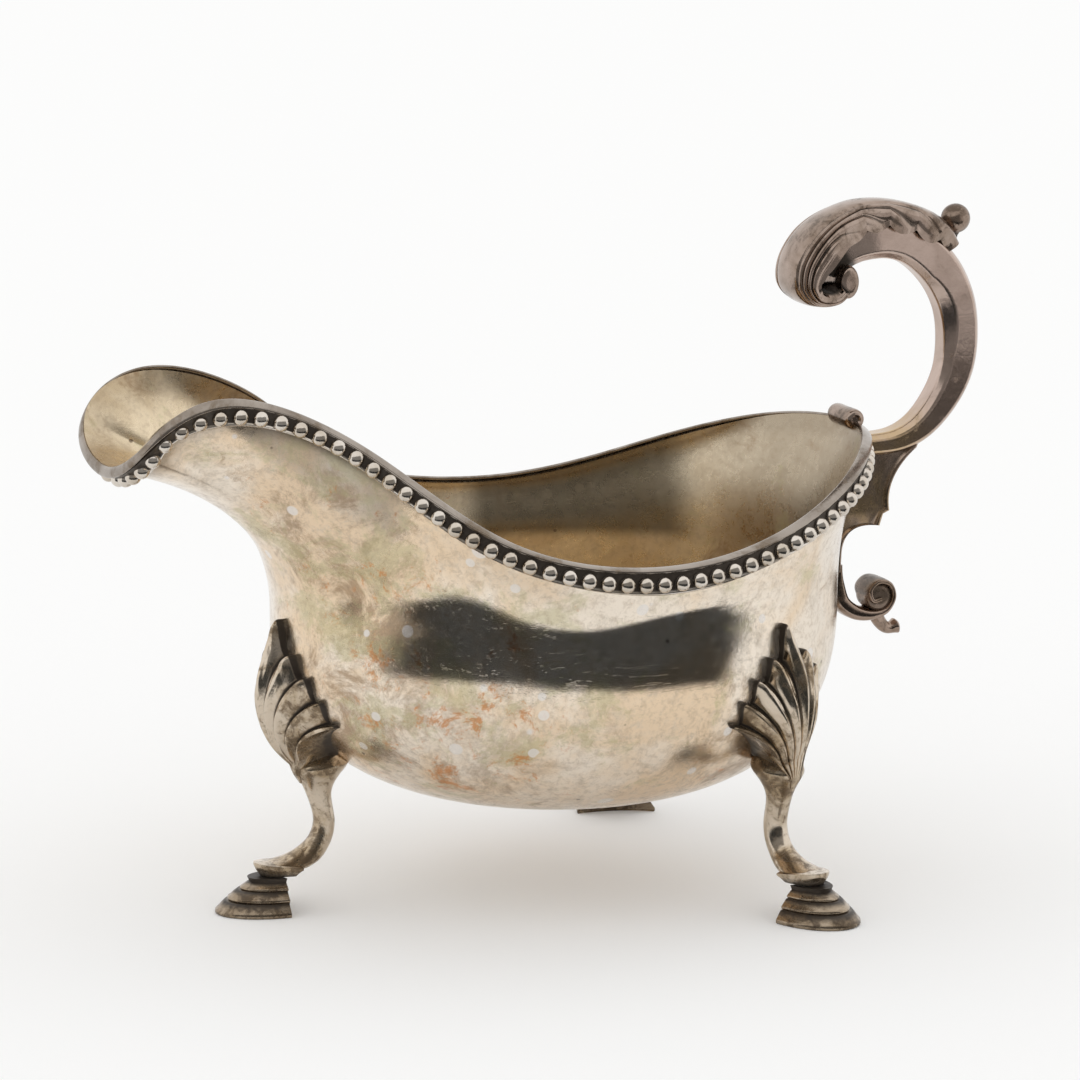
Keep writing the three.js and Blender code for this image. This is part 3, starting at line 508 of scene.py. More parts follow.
def knee_front(t, z):
    """The front of the shank's top, square on the leg's plane."""
    s = np.linspace(0, 0.5, 60)
    front, back = SHANK_FRONT.at(s)[::-1], SHANK_BACK.at(s)[::-1]
    foremost = np.interp(z, front[:, 2], front[:, 0])
    hindmost = np.interp(z, back[:, 2], back[:, 0])
    share = np.minimum(np.abs(t) / (SHANK_WIDTH / 2 + KNEE_FLARE), 1)
    return mix(hindmost, foremost, 0.5 + 0.5 * np.sqrt(1 - share**2))


def shell_edge(q):
    """How far the shell's lobed edge lies from its foot, from side to side."""
    shoulder = mix(SHELL_SIDE, SHELL_SHOULDER, (1 - np.abs(q)) ** 1.05)
    lobe = 1 + 0.06 * np.cos(2 * math.pi * SIDE_FLUTES * q) - 0.06
    return (shoulder + (SHELL_LENGTH - SHELL_SHOULDER) * bump(q, 0.1)) * lobe


def shell_knuckle(skin, leg):
    """Long rounded flutes fan out from the shell's foot to lobes that are dished near their ends."""
    p = np.concatenate([np.linspace(0.03, 0.88, 44)[:-1], 1 - 0.12 * np.linspace(1, 0, 16) ** 1.6])
    q = np.linspace(-1, 1, 2 * SIDE_FLUTES * 22 + 1)
    grid_p, grid_q = np.meshgrid(p, q, indexing="ij")
    reach = shell_edge(grid_q)
    angle = grid_q * math.radians(SHELL_SPREAD) * (0.6 + 0.4 * grid_p)
    t = grid_p * reach * np.sin(angle)
    z = SHELL_FOOT - SHELL_TAIL * (1 - grid_p) ** 2 + grid_p * reach * np.cos(angle)
    fade = mix(0.5, 0.8, smooth(np.abs(grid_q), 0.2, 0.8))
    dome = np.maximum(1 - grid_p**2.4, 0) ** fade * (1 - 0.22 * grid_q**2)
    height = SHELL_BULGE * (1.5 - 0.9 * (z - SHELL_FOOT) / SHELL_LENGTH) * dome + SHELL_EDGE_HEIGHT
    phase = np.abs(SIDE_FLUTES * grid_q - np.round(SIDE_FLUTES * grid_q)) * 2
    ridge = np.sqrt(np.maximum(1 - 0.97 * phase**2, 0))
    dished = smooth(grid_p, 0.62, 0.8) * (1 - smooth(grid_p, 0.88, 0.97)) * (1 - smooth(phase, 0.3, 0.7))
    ripple = FLUTE_DEPTH * (ridge - 0.55 - 0.4 * dished) * smooth(grid_p, 0.05, 0.3)
    wall = leg.bowl_reach(t, z)
    run_out = smooth(grid_p, 0.1, 0.42)
    over_knee = np.maximum(knee_front(t, z) + SEAM, wall + height)
    top = leg.place(mix(over_knee, wall + height, run_out) + ripple, t, z)
    base = leg.place(mix(knee_front(t, z) - 1, wall - SHELL_SEAT, run_out), t, z)
    # The flutes' valleys, the lobes' ends and the seat against the wall are darkened: painted shade, along
    # with tarnish.
    deep = smooth(phase, 0.72, 1) * smooth(grid_p, 0.08, 0.35) * mix(0.7, 1, smooth(grid_p, 0.5, 0.9))
    deep = np.maximum(deep, smooth(grid_p, 0.985, 1.0) * 0.9)
    rings = np.concatenate([top, base[:, ::-1]], 1)
    skin.grid(rings, np.concatenate([deep, np.ones(deep.shape)], 1), zipped=True)


def shank(skin, leg):
    """The curved shank, oval in section, from behind the shell down to the ankle."""
    s = np.linspace(0, 1, 90)
    front, back = SHANK_FRONT.at(s), SHANK_BACK.at(s)
    middle, half = (front + back) / 2, (front - back) / 2
    wide = SHANK_WIDTH / 2 + (1 - smooth(s, 0, 0.42)) * KNEE_FLARE + smooth(s, 0.68, 1) * 1.6
    knee = np.sqrt(smooth(s, -0.02, 0.24))
    wide, half = wide * knee, half * knee[:, None]
    turn = loop(40)
    r = middle[:, :1] + half[:, :1] * np.cos(turn)
    z = middle[:, 2:] + half[:, 2:] * np.cos(turn)
    t = wide[:, None] * np.sin(turn)
    skin.grid(leg.place(np.maximum(r, leg.bowl_reach(t, z) - SEAM), t, z), 0.12)


def hoof_ring(leg, back, toe, width, hollow, z, tilt=0.0):
    """A D-shaped ring: a half ellipse to the toe, and a hollow back."""
    a = np.linspace(-math.pi / 2, math.pi / 2, 37)
    w = np.linspace(1, -1, 13)[1:-1]
    r = np.concatenate([back + (toe - back) * np.cos(a), back + hollow * (1 - w * w)])
    t = np.concatenate([width / 2 * np.sin(a), width / 2 * w])
    return leg.place(r, t, z + tilt * r)


ANKLE_BASE = FOOT_HEIGHT + SEAM
ANKLE_TOE, ANKLE_WIDTH, ANKLE_BACK = 0.36 * FOOT_LENGTH, 0.58 * FOOT_WIDTH, -0.28 * FOOT_LENGTH
# Rings of the ankle's lip: what its back, toe and width gain, its height, its tilt, and how hollow; the last
# darkens the lip against the foot and under the shank as painted shade, along with tarnish
ANKLE_RINGS = (
    (0.9, -1.1, -2.2, ANKLE_BASE - SEAM / 2, 0, 0.7),
    (0.6, -0.8, -1.5, ANKLE_BASE + 0.3, 0, 0.6),
    (0.2, -0.3, -0.6, ANKLE_BASE + 0.9, 0.02, 0.4),
    (-0.1, 0, -0.1, ANKLE_BASE + 1.3, 0.06, 0.1),
    (-0.3, 0.2, 0.1, ANKLE_BASE + 0.68 * ANKLE_HEIGHT, 0.1, 0),
    (-0.3, 0.15, 0, ANKLE_TOP - 0.4, 0.11, 0),
    (-0.3, -0.4, -0.8, ANKLE_TOP - 0.3, 0.1, 0.1),
    (-0.4, -1.5, -2.2, ANKLE_TOP - 0.25, 0.08, 0.3),
    (-0.4, -2.8, -3.6, ANKLE_TOP, 0.05, 0.3),
)


def ankle_lip(skin, leg):
    """The lip that the shank stands on, over the hoof."""
    rings = [hoof_ring(leg, ANKLE_BACK + back, ANKLE_TOE + toe, ANKLE_WIDTH + width, 0.2, z, tilt)
             for back, toe, width, z, tilt, _ in ANKLE_RINGS]
    skin.grid(np.array(rings), np.array(ANKLE_RINGS)[:, -1:])


def leg_piece(name, node, leg, finish):
    """One cast leg: the shell knuckle, the shank and the lip at its ankle."""
    skin = Skin()
    shell_knuckle(skin, leg)
    shank(skin, leg)
    ankle_lip(skin, leg)
    skin.piece(name, node, finish, 48)


# Each tier's share of the foot's size and height; its moulding's loss of size, rise and hollow, which darkens
# each cove under the next tier as painted shade, along with tarnish
FOOT_TIERS = ((1, 0.37), (0.8, 0.66), (0.6, 0.88))
TIER_MOULDING = ((0.035, 0, 0.5), (0.01, 0.06, 0.2), (0, 0.18, 0), (0.006, 0.32, 0), (0.03, 0.42, 0.05),
                 (0.06, 0.56, 0.3), (0.1, 0.76, 0.55), (0.15, 0.97, 0.8))
FOOT_TOP = 0.48


def hoof_foot(name, node, leg, finish):
    """Three stepped tiers, each a rounded edge with a hollow moulding over it."""
    rings, hollow, bottom = [], [], 0
    for size, top in FOOT_TIERS:
        for shrink, rise, deep in TIER_MOULDING:
            scale, z = size - shrink, FOOT_HEIGHT * mix(bottom, top, rise)
            rings.append(hoof_ring(leg, -1.4 * (1 - size), FOOT_LENGTH * scale, FOOT_WIDTH * scale,
                                   FOOT_HOLLOW * scale, z))
            hollow.append(deep)
        bottom = top
    # The top, where the ankle's lip stands on it, is darkened fully: painted shade.
    rings.append(hoof_ring(leg, -0.7, FOOT_LENGTH * FOOT_TOP, FOOT_WIDTH * FOOT_TOP,
                           FOOT_HOLLOW * 0.4, FOOT_HEIGHT))
    hollow.append(1)
    skin = Skin()
    skin.grid(np.array(rings), np.array(hollow)[:, None])
    skin.piece(name, node, finish, 60)


# The arm's middle line, from inside the leaf's curl round the grip to the bowl
ARM_LINE = Curve(
    (72.4, 0, 119.6), (75.4, 0, 123.2), (79.2, 0, 125.6), (84, 0, 126.5), (90.6, 0, 124.8), (96.8, 0, 119.6),
    (100.5, 0, 112.8), (HANDLE_REACH - ARM_THICKNESS / 2, 0, 105.4), (100.6, 0, 98.2), (97.4, 0, 92.1),
    (92.8, 0, 87.3), (87.6, 0, 84.9), (80, 0, 84.4), (74.5, 0, 84.6))
GRIP_MIDDLE = (84, 0, 105)
# Shares of the arm's full size inside the curl and at the bowl, and its swell and waist between
ARM_START, ARM_ROOT = 0.62, 0.86
ARM_SWELL, ARM_WAIST = 0.6, 0.4


def eased(corners, radius):
    """A ring of corners, each rounded over a small radius, with flat land kept between them."""
    back, on = np.roll(corners, 1, 1) - corners, np.roll(corners, -1, 1) - corners

    def along(side, share):
        length = np.linalg.norm(side, axis=-1, keepdims=True)
        return corners + side / length * share * np.minimum(radius, 0.24 * length)

    first, last = along(back, 1), along(on, 1)
    middle = corners * 0.5 + (first + last) * 0.25
    return np.stack([along(back, 1.7), first, middle, last, along(on, 1.7)], 2).reshape(len(corners), -1, 2)


def scroll_arm(finish):
    """The panelled arm: flat cheeks, narrow outer bevels, and inner bevels that widen at the bend."""
    s = np.linspace(0, 1, 220)
    centre = ARM_LINE.even(s)
    outward = square_on(ARM_LINE.heading(s))
    outward *= np.sign(np.sum(outward * (centre - GRIP_MIDDLE), -1, keepdims=True))
    taper, start = smooth(s, 0.55, 0.92), smooth(s, 0, 0.16)
    full = ARM_THICKNESS + ARM_SWELL * bump(s - 0.33, 0.12) - ARM_WAIST * bump(s - 0.66, 0.12)
    thick = mix(mix(ARM_THICKNESS * ARM_START, full, start), ROOT_THICKNESS, taper) / 2
    wide = mix(mix(ARM_WIDTH * ARM_START, ARM_WIDTH, start), ARM_WIDTH * ARM_ROOT, taper) / 2
    bevel = ARM_BEVEL * mix(1, 0.7, taper)
    inner_bevel = bevel + HOLLOW_BEVEL * np.maximum(1 - ((s - 0.46) / 0.12) ** 2, 0)
    side = [(thick, wide - bevel), (thick - bevel * 0.7, wide), (-thick + inner_bevel, wide),
            (-thick, wide - bevel)]
    ring = [np.stack(corner, -1) for corner in side] + [np.stack((rise, -y), -1) for rise, y in side[::-1]]
    corners = eased(np.stack(ring, 1), ARM_EDGE_RADIUS)
    at = swept(centre, outward, corners[..., 0], corners[..., 1])
    skin = Skin()
    # The arm is darkened where it starts inside the leaf's curl: painted shade.
    skin.grid(clear_of_bowl(at), 0.05 + 0.95 * (1 - smooth(s, 0.035, 0.1))[:, None])
    skin.piece("scroll_arm", "handle_scroll_arm", finish, 35)


# The leaf's crest, from its tip under the ball over the top and down into its curl
LEAF_LINE = Curve(
    (101.2, 0, CREST - 9.6), (99.2, 0, CREST - 6.2), (95.6, 0, CREST - 3.4), (90.5, 0, CREST - 1.3),
    (84.5, 0, CREST), (78.4, 0, CREST), (72.3, 0, CREST - 1.9), (66.8, 0, CREST - 5.7),
    (63.2, 0, CREST - 11.5), (63.2, 0, CREST - 16.9), (66, 0, CREST - 20.1), (69.8, 0, CREST - 21),
    (73.4, 0, CREST - 20.6), (76, 0, CREST - 18.8))


def roll_rings(centre, radius, length, stretch=1.0, eye=0.0):
    """A transverse roll with softly rounded ends; an eye sinks a ring into each end."""
    profile = [(0.04, 0.5 - eye * 0.06), (0.3, 0.5 - eye * 0.06), (0.4, 0.5 - eye * 0.03), (0.5, 0.5),
               (0.74, 0.49), (0.88, 0.46), (0.96, 0.42), (1, 0.35), (1, 0.2), (0.98, 0)]
    profile += [(r, -h) for r, h in profile[-2::-1]]
    r, h = np.array(profile).T
    turn = loop(40)
    return points(centre[0] + radius * r[:, None] * np.cos(turn), length * h[:, None],
                  centre[2] + radius * stretch * r[:, None] * np.sin(turn))


# Where each rib begins across the leaf, from its crest at 0 to its edge at 1
RIB_EDGES = (0.4, 0.55, 0.7, 0.85)
RIB_HEIGHT = 1.2


def leaf_ribs(s, across):
    """Rounded ribs beside a plain crest. Towards the tip each runs out at a cusp of the edge."""
    near_tip = np.linspace(0, 0.5, 400)
    along = -LEAF_LINE.even(near_tip)[:, 0]
    edges = []
    for k, share in enumerate(RIB_EDGES):
        cusp = LOBE_START + LOBE_PITCH * (len(RIB_EDGES) - 1 - k)
        ends = np.interp(-cusp, along, near_tip)
        edges.append(share + (1.02 - share) * (1 - smooth(s, ends - 0.01, ends + 0.2)) ** 1.4)
    edges.append(np.ones(s.shape))
    height = np.ones((len(s), len(across)))
    for first, last in zip(edges, edges[1:]):
        width = np.maximum(last - first, 1e-4)[:, None]
        place = (across - first[:, None]) / width
        rib = np.sqrt(np.clip(1 - (2 * place - 1) ** 2, 0, 1)) ** 0.8
        within = (place >= 0) & (place < 1) & (width > 0.02)
        at_edge = np.where(place > 0.5, np.maximum(rib, smooth(across, 0.97, 1)), rib)
        height = np.where(within, at_edge, height)
    to_crest = edges[0][:, None] - across
    beside = np.exp(-np.maximum(to_crest, 0) / 0.03) * (to_crest > 0)
    return height * (1 - 0.6 * beside)


def softened(field, reach, axis):
    """A field averaged over its neighbours along one axis."""
    wide = np.pad(field, [(reach, reach) if k == axis else (0, 0) for k in range(2)], mode="edge")
    span = field.shape[axis]
    return sum(np.take(wide, np.arange(k, k + span), axis) for k in range(2 * reach + 1)) / (2 * reach + 1)


# The leaf's half widths and depths: at its tip, on top, round its bend and at its rolled end
LEAF_HALF_WIDTHS = 3.2, 5.2, LEAF_WIDTH / 2, ROLL_LENGTH / 2
LEAF_DEPTHS = 2.6, 4.8, 6.8, 2.4


def leaf_cap(finish):
    """The leaf: a broad plain band along its crest, ribs beside it, a lobed edge and a curled end."""
    s = np.linspace(0, 1, 290)
    centre = LEAF_LINE.even(s)
    inward = square_on(LEAF_LINE.heading(s))
    start, curl, narrows, flattens = (smooth(s, 0, 0.12), smooth(s, 0.3, 0.62), smooth(s, 0.8, 1),
                                      smooth(s, 0.62, 0.93))
    tip, top, bend, end = LEAF_HALF_WIDTHS
    half = mix(mix(mix(tip, top, start), bend, curl), end, narrows)
    tip, top, bend, end = LEAF_DEPTHS
    wave = np.abs(np.sin(math.pi * (centre[:, 0] - LOBE_START) / LOBE_PITCH)) ** 0.8
    depth = mix(mix(mix(tip, top, start), bend, curl), end, flattens) + LOBE_DEPTH * wave * (1 - curl)

    a = np.linspace(-1, 1, 161)
    fall = 1 - np.sqrt(np.maximum(1 - a * a, 0))
    spread = np.sin(a * math.pi / 2)
    y, n = half[:, None] * spread, depth[:, None] * fall
    side = unit(np.stack([np.gradient(y, axis=1), np.gradient(n, axis=1)], -1) + 1e-9)
    ribs = softened(softened(leaf_ribs(s, np.abs(a)), 3, 0), 1, 1)
    raised = RIB_HEIGHT * (ribs - 1) * mix(0.75, 1, curl)[:, None]
    y_out, n_out = y + side[..., 1] * raised, n - side[..., 0] * raised
    inner = slice(-4, 3, -1)
    y_in = (half[:, None] - LEAF_THICKNESS * 0.6) * spread
    n_in = n * 0.86 + LEAF_THICKNESS
    at = swept(centre, inward, np.concatenate([n_out, n_in[:, inner]], 1),
               np.concatenate([y_out, y_in[:, inner]], 1))
    # The grooves between the ribs and the leaf's underside are darkened: painted shade, along with tarnish.
    groove = smooth(1 - ribs, 0.22, 0.62)
    skin = Skin()
    skin.grid(at, np.concatenate([groove, np.full(y_in[:, inner].shape, 0.9)], 1))
    end = LEAF_LINE.even(np.array(1.0))
    eye = (end[0] - 0.45 * ROLL_RADIUS, 0, end[2] + ROLL_RADIUS * ROLL_STRETCH - 0.6)
    skin.grid(roll_rings(eye, ROLL_RADIUS, ROLL_LENGTH, ROLL_STRETCH), 0.05)
    skin.piece("leaf_cap", "handle_leaf_cap", finish, 60)


def ball_knop(finish):
    """The ball at the leaf's outer end, on a short neck that leans outward."""
    low = math.asin(NECK_RADIUS / KNOP_RADIUS)
    rise = NECK_HEIGHT + KNOP_RADIUS * math.cos(low)
    polar = np.linspace(low, math.pi - 0.05, 24)[1:]
    r = np.concatenate([[1.1, 1.15, NECK_RADIUS], KNOP_RADIUS * np.sin(polar)])
    h = np.concatenate([[0, 0.8, NECK_HEIGHT], rise - KNOP_RADIUS * np.cos(polar)])
    turn, lean = loop(32), math.radians(KNOP_LEAN)
    x, z = r[:, None] * np.cos(turn), h[:, None]
    foot = LEAF_LINE.even(np.array(0.0)) + [-1.1, 0, 0.6]
    at = points(foot[0] + x * math.cos(lean) + z * math.sin(lean), r[:, None] * np.sin(turn),
                foot[2] - x * math.sin(lean) + z * math.cos(lean))
    skin = Skin()
    # The neck is darkened under the ball: painted shade.
    skin.grid(at, (1 - smooth(h, 0.6, 2.2))[:, None])
    skin.piece("ball_knop", "handle_ball_knop", finish, 60)


def rim_scroll(finish):
    """The thumb scroll that lies across the rim at the arm's root."""
    edge = rim_point(np.array([float(HALF)]))[0]
    centre = (edge[0] - 1.9, 0, edge[2] + RIM_SCROLL_RADIUS - 1)
    skin = Skin()
    skin.grid(roll_rings(centre, RIM_SCROLL_RADIUS, RIM_SCROLL_LENGTH, eye=0.9), 0.1)
    skin.piece("rim_scroll", "handle_rim_scroll", finish, 40)


def arc(start, control, end, count):
    """A curve from start to end, drawn towards a control point."""
    t = np.linspace(0, 1, count)[:, None]
    start, control, end = (np.array(k, float) for k in (start, control, end))
    return (1 - t) ** 2 * start + 2 * t * (1 - t) * control + t * t * end


# The web's free edge, x and z, from the arm down to the volute, with a cusp between its two arcs
WEB_EDGE = np.vstack([
    [(93, 86)], arc((91.8, 83.2), (84.6, 77.6), (85.8, 70.6), 18), [(84.4, 70), (83.6, 67.6)],
    arc((83.6, 67.6), (75.1, 69.2), (75.1, 61.6), 20)[1:], [(75, 60.2), (75, 58.6)]])
# Heights on the wall that face some of the edge's points, by their number
WEB_FACING, WEB_HEIGHTS = (0, 18, 20, 39, 41), (86, 76, 71.5, 61.8, 58.6)
# From the free edge inward: how far, the loss of half thickness, and how hollow, which darkens the sunk cheek
# as painted shade, along with tarnish
WEB_BORDER = ((0, 0.5, 0), (0.06, 0.15, 0), (0.25, 0, 0), (0.7, 0, 0.05),
              (0.95, 0.15, 0.3), (1.5, 0.7, 0.6), (2.6, 0.9, 0.5), (99, 0.9, 0.5))


def bracket_web(skin):
    """The cusped web under the arm: a sunk cheek with a raised border, from the wall to a free edge."""
    height = np.interp(np.arange(len(WEB_EDGE)), WEB_FACING, WEB_HEIGHTS)
    wall = clear_of_bowl(points(60, 0, height))[:, ::2]
    width = np.linalg.norm(wall - WEB_EDGE, axis=1)
    inward = (wall - WEB_EDGE) / width[:, None]
    near = []
    for off, loss, _ in WEB_BORDER:
        flat = WEB_EDGE + inward * np.minimum(off, width)[:, None]
        near.append(points(flat[:, 0], loss - WEB_THICKNESS / 2, flat[:, 1]))
    far = [ring * [1, -1, 1] for ring in near[::-1]]
    hollow = np.array(WEB_BORDER)[:, 2]
    skin.grid(clear_of_bowl(np.stack(near + far, 1)), np.concatenate([hollow, hollow[::-1]]))


# The band's middle line, rolling up round the volute's eye, and its thicknesses along it
VOLUTE_LINE = Curve(
    (75, 0, 60), (75, 0, 56), (75.7, 0, 52.3), (78.3, 0, 50), (81.8, 0, 49.3), (85, 0, 50.2), (86.5, 0, 52.8),
    (85.6, 0, 55.4), (83, 0, 56.1), (81.2, 0, 54.4), (81.9, 0, 52.3), (83.6, 0, 52.5))
VOLUTE_EYE = (83.5, 0, 52.8)
BAND_TOP, BAND_MIDDLE, BAND_END = 1.2, 3.2, 1.3
TAIL_LINE = Curve((83.6, 0, 50.4), (84.4, 0, 47.8), (86.4, 0, 45.8), (89, 0, 46.2))


def rolled_band(skin):
    """The band that runs down from the web along the wall, swings out and rolls up into the volute."""
    s, turn = np.linspace(0, 1, 180), loop(32)
    thick = mix(mix(BAND_TOP, BAND_MIDDLE, smooth(s, 0, 0.22)), BAND_END, smooth(s, 0.28, 0.62)) / 2
    wide = mix(WEB_THICKNESS - 0.4, VOLUTE_WIDTH, smooth(s, 0.12, 0.5)) / 2
    at = swept(VOLUTE_LINE.even(s), square_on(VOLUTE_LINE.heading(s)),
               thick[:, None] * squared(np.cos(turn), 0.7), wide[:, None] * squared(np.sin(turn), 0.45))
    # The band's faces inside the volute's turns, and its eye, are darkened: painted shade.
    skin.grid(clear_of_bowl(at), 0.1 + 0.5 * (smooth(s, 0.62, 0.8)[:, None] * np.abs(np.cos(turn))))
    skin.grid(roll_rings(VOLUTE_EYE, VOLUTE_RADIUS - 1.1, VOLUTE_WIDTH - 1.2), 0.5)


def hooked_tail(skin):
    """The tail under the volute, thinner downward, with a small knob at its rounded tip."""
    s, turn = np.linspace(0, 1, 40), loop(24)
    tip = np.sqrt(np.clip((1.02 - s) / 0.1, 0, 1))
    radius = TAIL_RADIUS * (1.1 - 0.45 * s + 0.5 * bump(s - 1, 0.16)) * tip
    at = swept(TAIL_LINE.at(s), square_on(TAIL_LINE.heading(s)), radius[:, None] * np.cos(turn),
               1.2 * radius[:, None] * np.sin(turn))
    skin.grid(at, 0.2)


def lower_bracket(finish):
    """Under the arm: the cusped web, a rolled volute with its eye, and a hooked tail."""
    skin = Skin()
    bracket_web(skin)
    rolled_band(skin)
    hooked_tail(skin)
    skin.piece("lower_bracket", "handle_lower_bracket", finish, 45)


# Finishes

class Value:
    """A socket of a finish; arithmetic on it adds Math nodes."""

    def __init__(self, sheet, socket):
        self.sheet, self.socket = sheet, socket

    def maths(self, operation, *others, clamp=False):
        inputs = dict(enumerate([self, *others]))
        return self.sheet.node("ShaderNodeMath", {"operation": operation, "use_clamp": clamp}, inputs)

    def __add__(self, other):
        return self.maths("ADD", other)

    def __mul__(self, other):
        return self.maths("MULTIPLY", other)

    def __sub__(self, other):
        return self.maths("SUBTRACT", other)

    def __rsub__(self, other):
        return self.sheet.node("ShaderNodeMath", {"operation": "SUBTRACT"}, {0: other, 1: self})

    __radd__, __rmul__ = __add__, __mul__

    def clamped(self):
        return self.maths("ADD", 0.0, clamp=True)

    def between(self, low, high):
        """0 below low, 1 above high, smooth between."""
        inputs = {"Value": self, "From Min": low, "From Max": high}
        return self.sheet.node("ShaderNodeMapRange", {"interpolation_type": "SMOOTHSTEP"}, inputs)


class Finish:
    """A node material or world that is drawn up from expressions."""

    def __init__(self, tree):
        self.tree = tree
        tree.nodes.clear()

    def node(self, kind, settings=None, inputs=None, output=0):
        made = self.tree.nodes.new(kind)
        for name, value in (settings or {}).items():
            if name == "stops":
                ramp = made.color_ramp
                while len(ramp.elements) < len(value):
                    ramp.elements.new(1.0)
                for element, (place, colour) in zip(ramp.elements, value):
                    element.position, element.color = place, colour
            else:
                setattr(made, name, value)
        for key, value in (inputs or {}).items():
            if isinstance(value, Value):
                self.tree.links.new(value.socket, made.inputs[key])
            else:
                made.inputs[key].default_value = value
        return Value(self, made.outputs[output]) if made.outputs else None

    def place(self):
        """Where a point lies on its piece, in metres in the frame."""
        return self.node("ShaderNodeTexCoord", output=3)

    def attribute(self, name):
        """A value that the mesh carries."""
        return self.node("ShaderNodeAttribute", {"attribute_name": name}, output=2)

    def noise(self, scale, detail=4.0, rough=0.6, warp=0.0, at=None):
        inputs = {"Vector": at or self.place(), "Scale": scale, "Detail": detail, "Roughness": rough,
                  "Distortion": warp}
        return self.node("ShaderNodeTexNoise", {}, inputs)

    def stretched(self, x, y, z, turn):
        """The place turned and scaled, to draw a pattern out in one direction."""
        inputs = {"Vector": self.place(), "Rotation": turn, "Scale": (x, y, z)}
        return self.node("ShaderNodeMapping", {}, inputs)

    def spots(self, scale, size, soft, share):
        """Round spots in a share of the cells of a pattern."""
        settings = {"feature": "F1", "distance": "EUCLIDEAN"}
        inputs = {"Vector": self.place(), "Scale": scale, "Randomness": 1.0}
        near = self.node("ShaderNodeTexVoronoi", settings, inputs, output=0)
        colour = self.node("ShaderNodeTexVoronoi", settings, inputs, output=1)
        pick = self.node("ShaderNodeSeparateColor", {}, {0: colour}, output=0)
        return (1 - near.between(size - soft, size)) * pick.between(1 - share - 0.01, 1 - share)

    def blend(self, share, first, second):
        """The first colour, giving way to the second by a share."""
        settings = {"data_type": "RGBA", "blend_type": "MIX"}
        return self.node("ShaderNodeMix", settings, {0: share, 6: first, 7: second}, output=2)

    def near(self, centre, radius, soft):
        """1 close to a place in the frame, 0 beyond the radius."""
        gap = self.node("ShaderNodeVectorMath", {"operation": "DISTANCE"},
                        {0: self.place(), 1: tuple(c * MM for c in centre)}, output=1)
        return 1 - gap.between((radius - soft) * MM, radius * MM)


def colour(red, green, blue):
    """A colour written as it looks on a screen, 0 to 255."""
    def plain(c):
        c /= 255
        return c / 12.92 if c <= 0.04045 else ((c + 0.055) / 1.055) ** 2.4
    return (plain(red), plain(green), plain(blue), 1.0)


# Colours of tarnished silver, stained and clean, with the painted shade of its hollows and a painted
# reflection on the far inside wall
CREAM = colour(248, 236, 220)
WARM_CREAM = colour(238, 214, 184)
GREY_CREAM = colour(208, 196, 180)
DUSK = colour(166, 146, 122)
OLIVE = colour(190, 184, 140)
BROWN = colour(150, 120, 88)
DARK_BROWN = colour(92, 74, 58)
RUST = colour(204, 130, 58)
WATER_MARK = colour(238, 233, 228)
# The darkest tone in the hollows: painted shade, along with tarnish.
SOOT_AND_SHADE = colour(62, 54, 46)
GOLD = colour(205, 176, 128)
HORN = colour(122, 106, 88)
INSIDE_PALE = colour(232, 214, 184)
INSIDE_WARM = colour(204, 182, 148)
INSIDE_GREY = colour(176, 164, 146)
# A painted reflection: the dark band on the upper far inside wall.
FAR_WALL_REFLECTION = colour(96, 86, 70)


def finish_named(name):
    material = bpy.data.materials.new(name)
    material.use_nodes = True
    return material, Finish(material.node_tree)


def close_finish(sheet, base, roughness, metallic, height, strength, distance):
    """Joins a finish's colour, roughness, metal and relief to the material."""
    normal = sheet.node("ShaderNodeBump", {}, {"Strength": strength, "Distance": distance, "Height": height})
    inputs = {"Base Color": base, "Roughness": roughness, "Metallic": metallic, "Normal": normal}
    skin = sheet.node("ShaderNodeBsdfPrincipled", {}, inputs)
    sheet.node("ShaderNodeOutputMaterial", {}, {"Surface": skin})


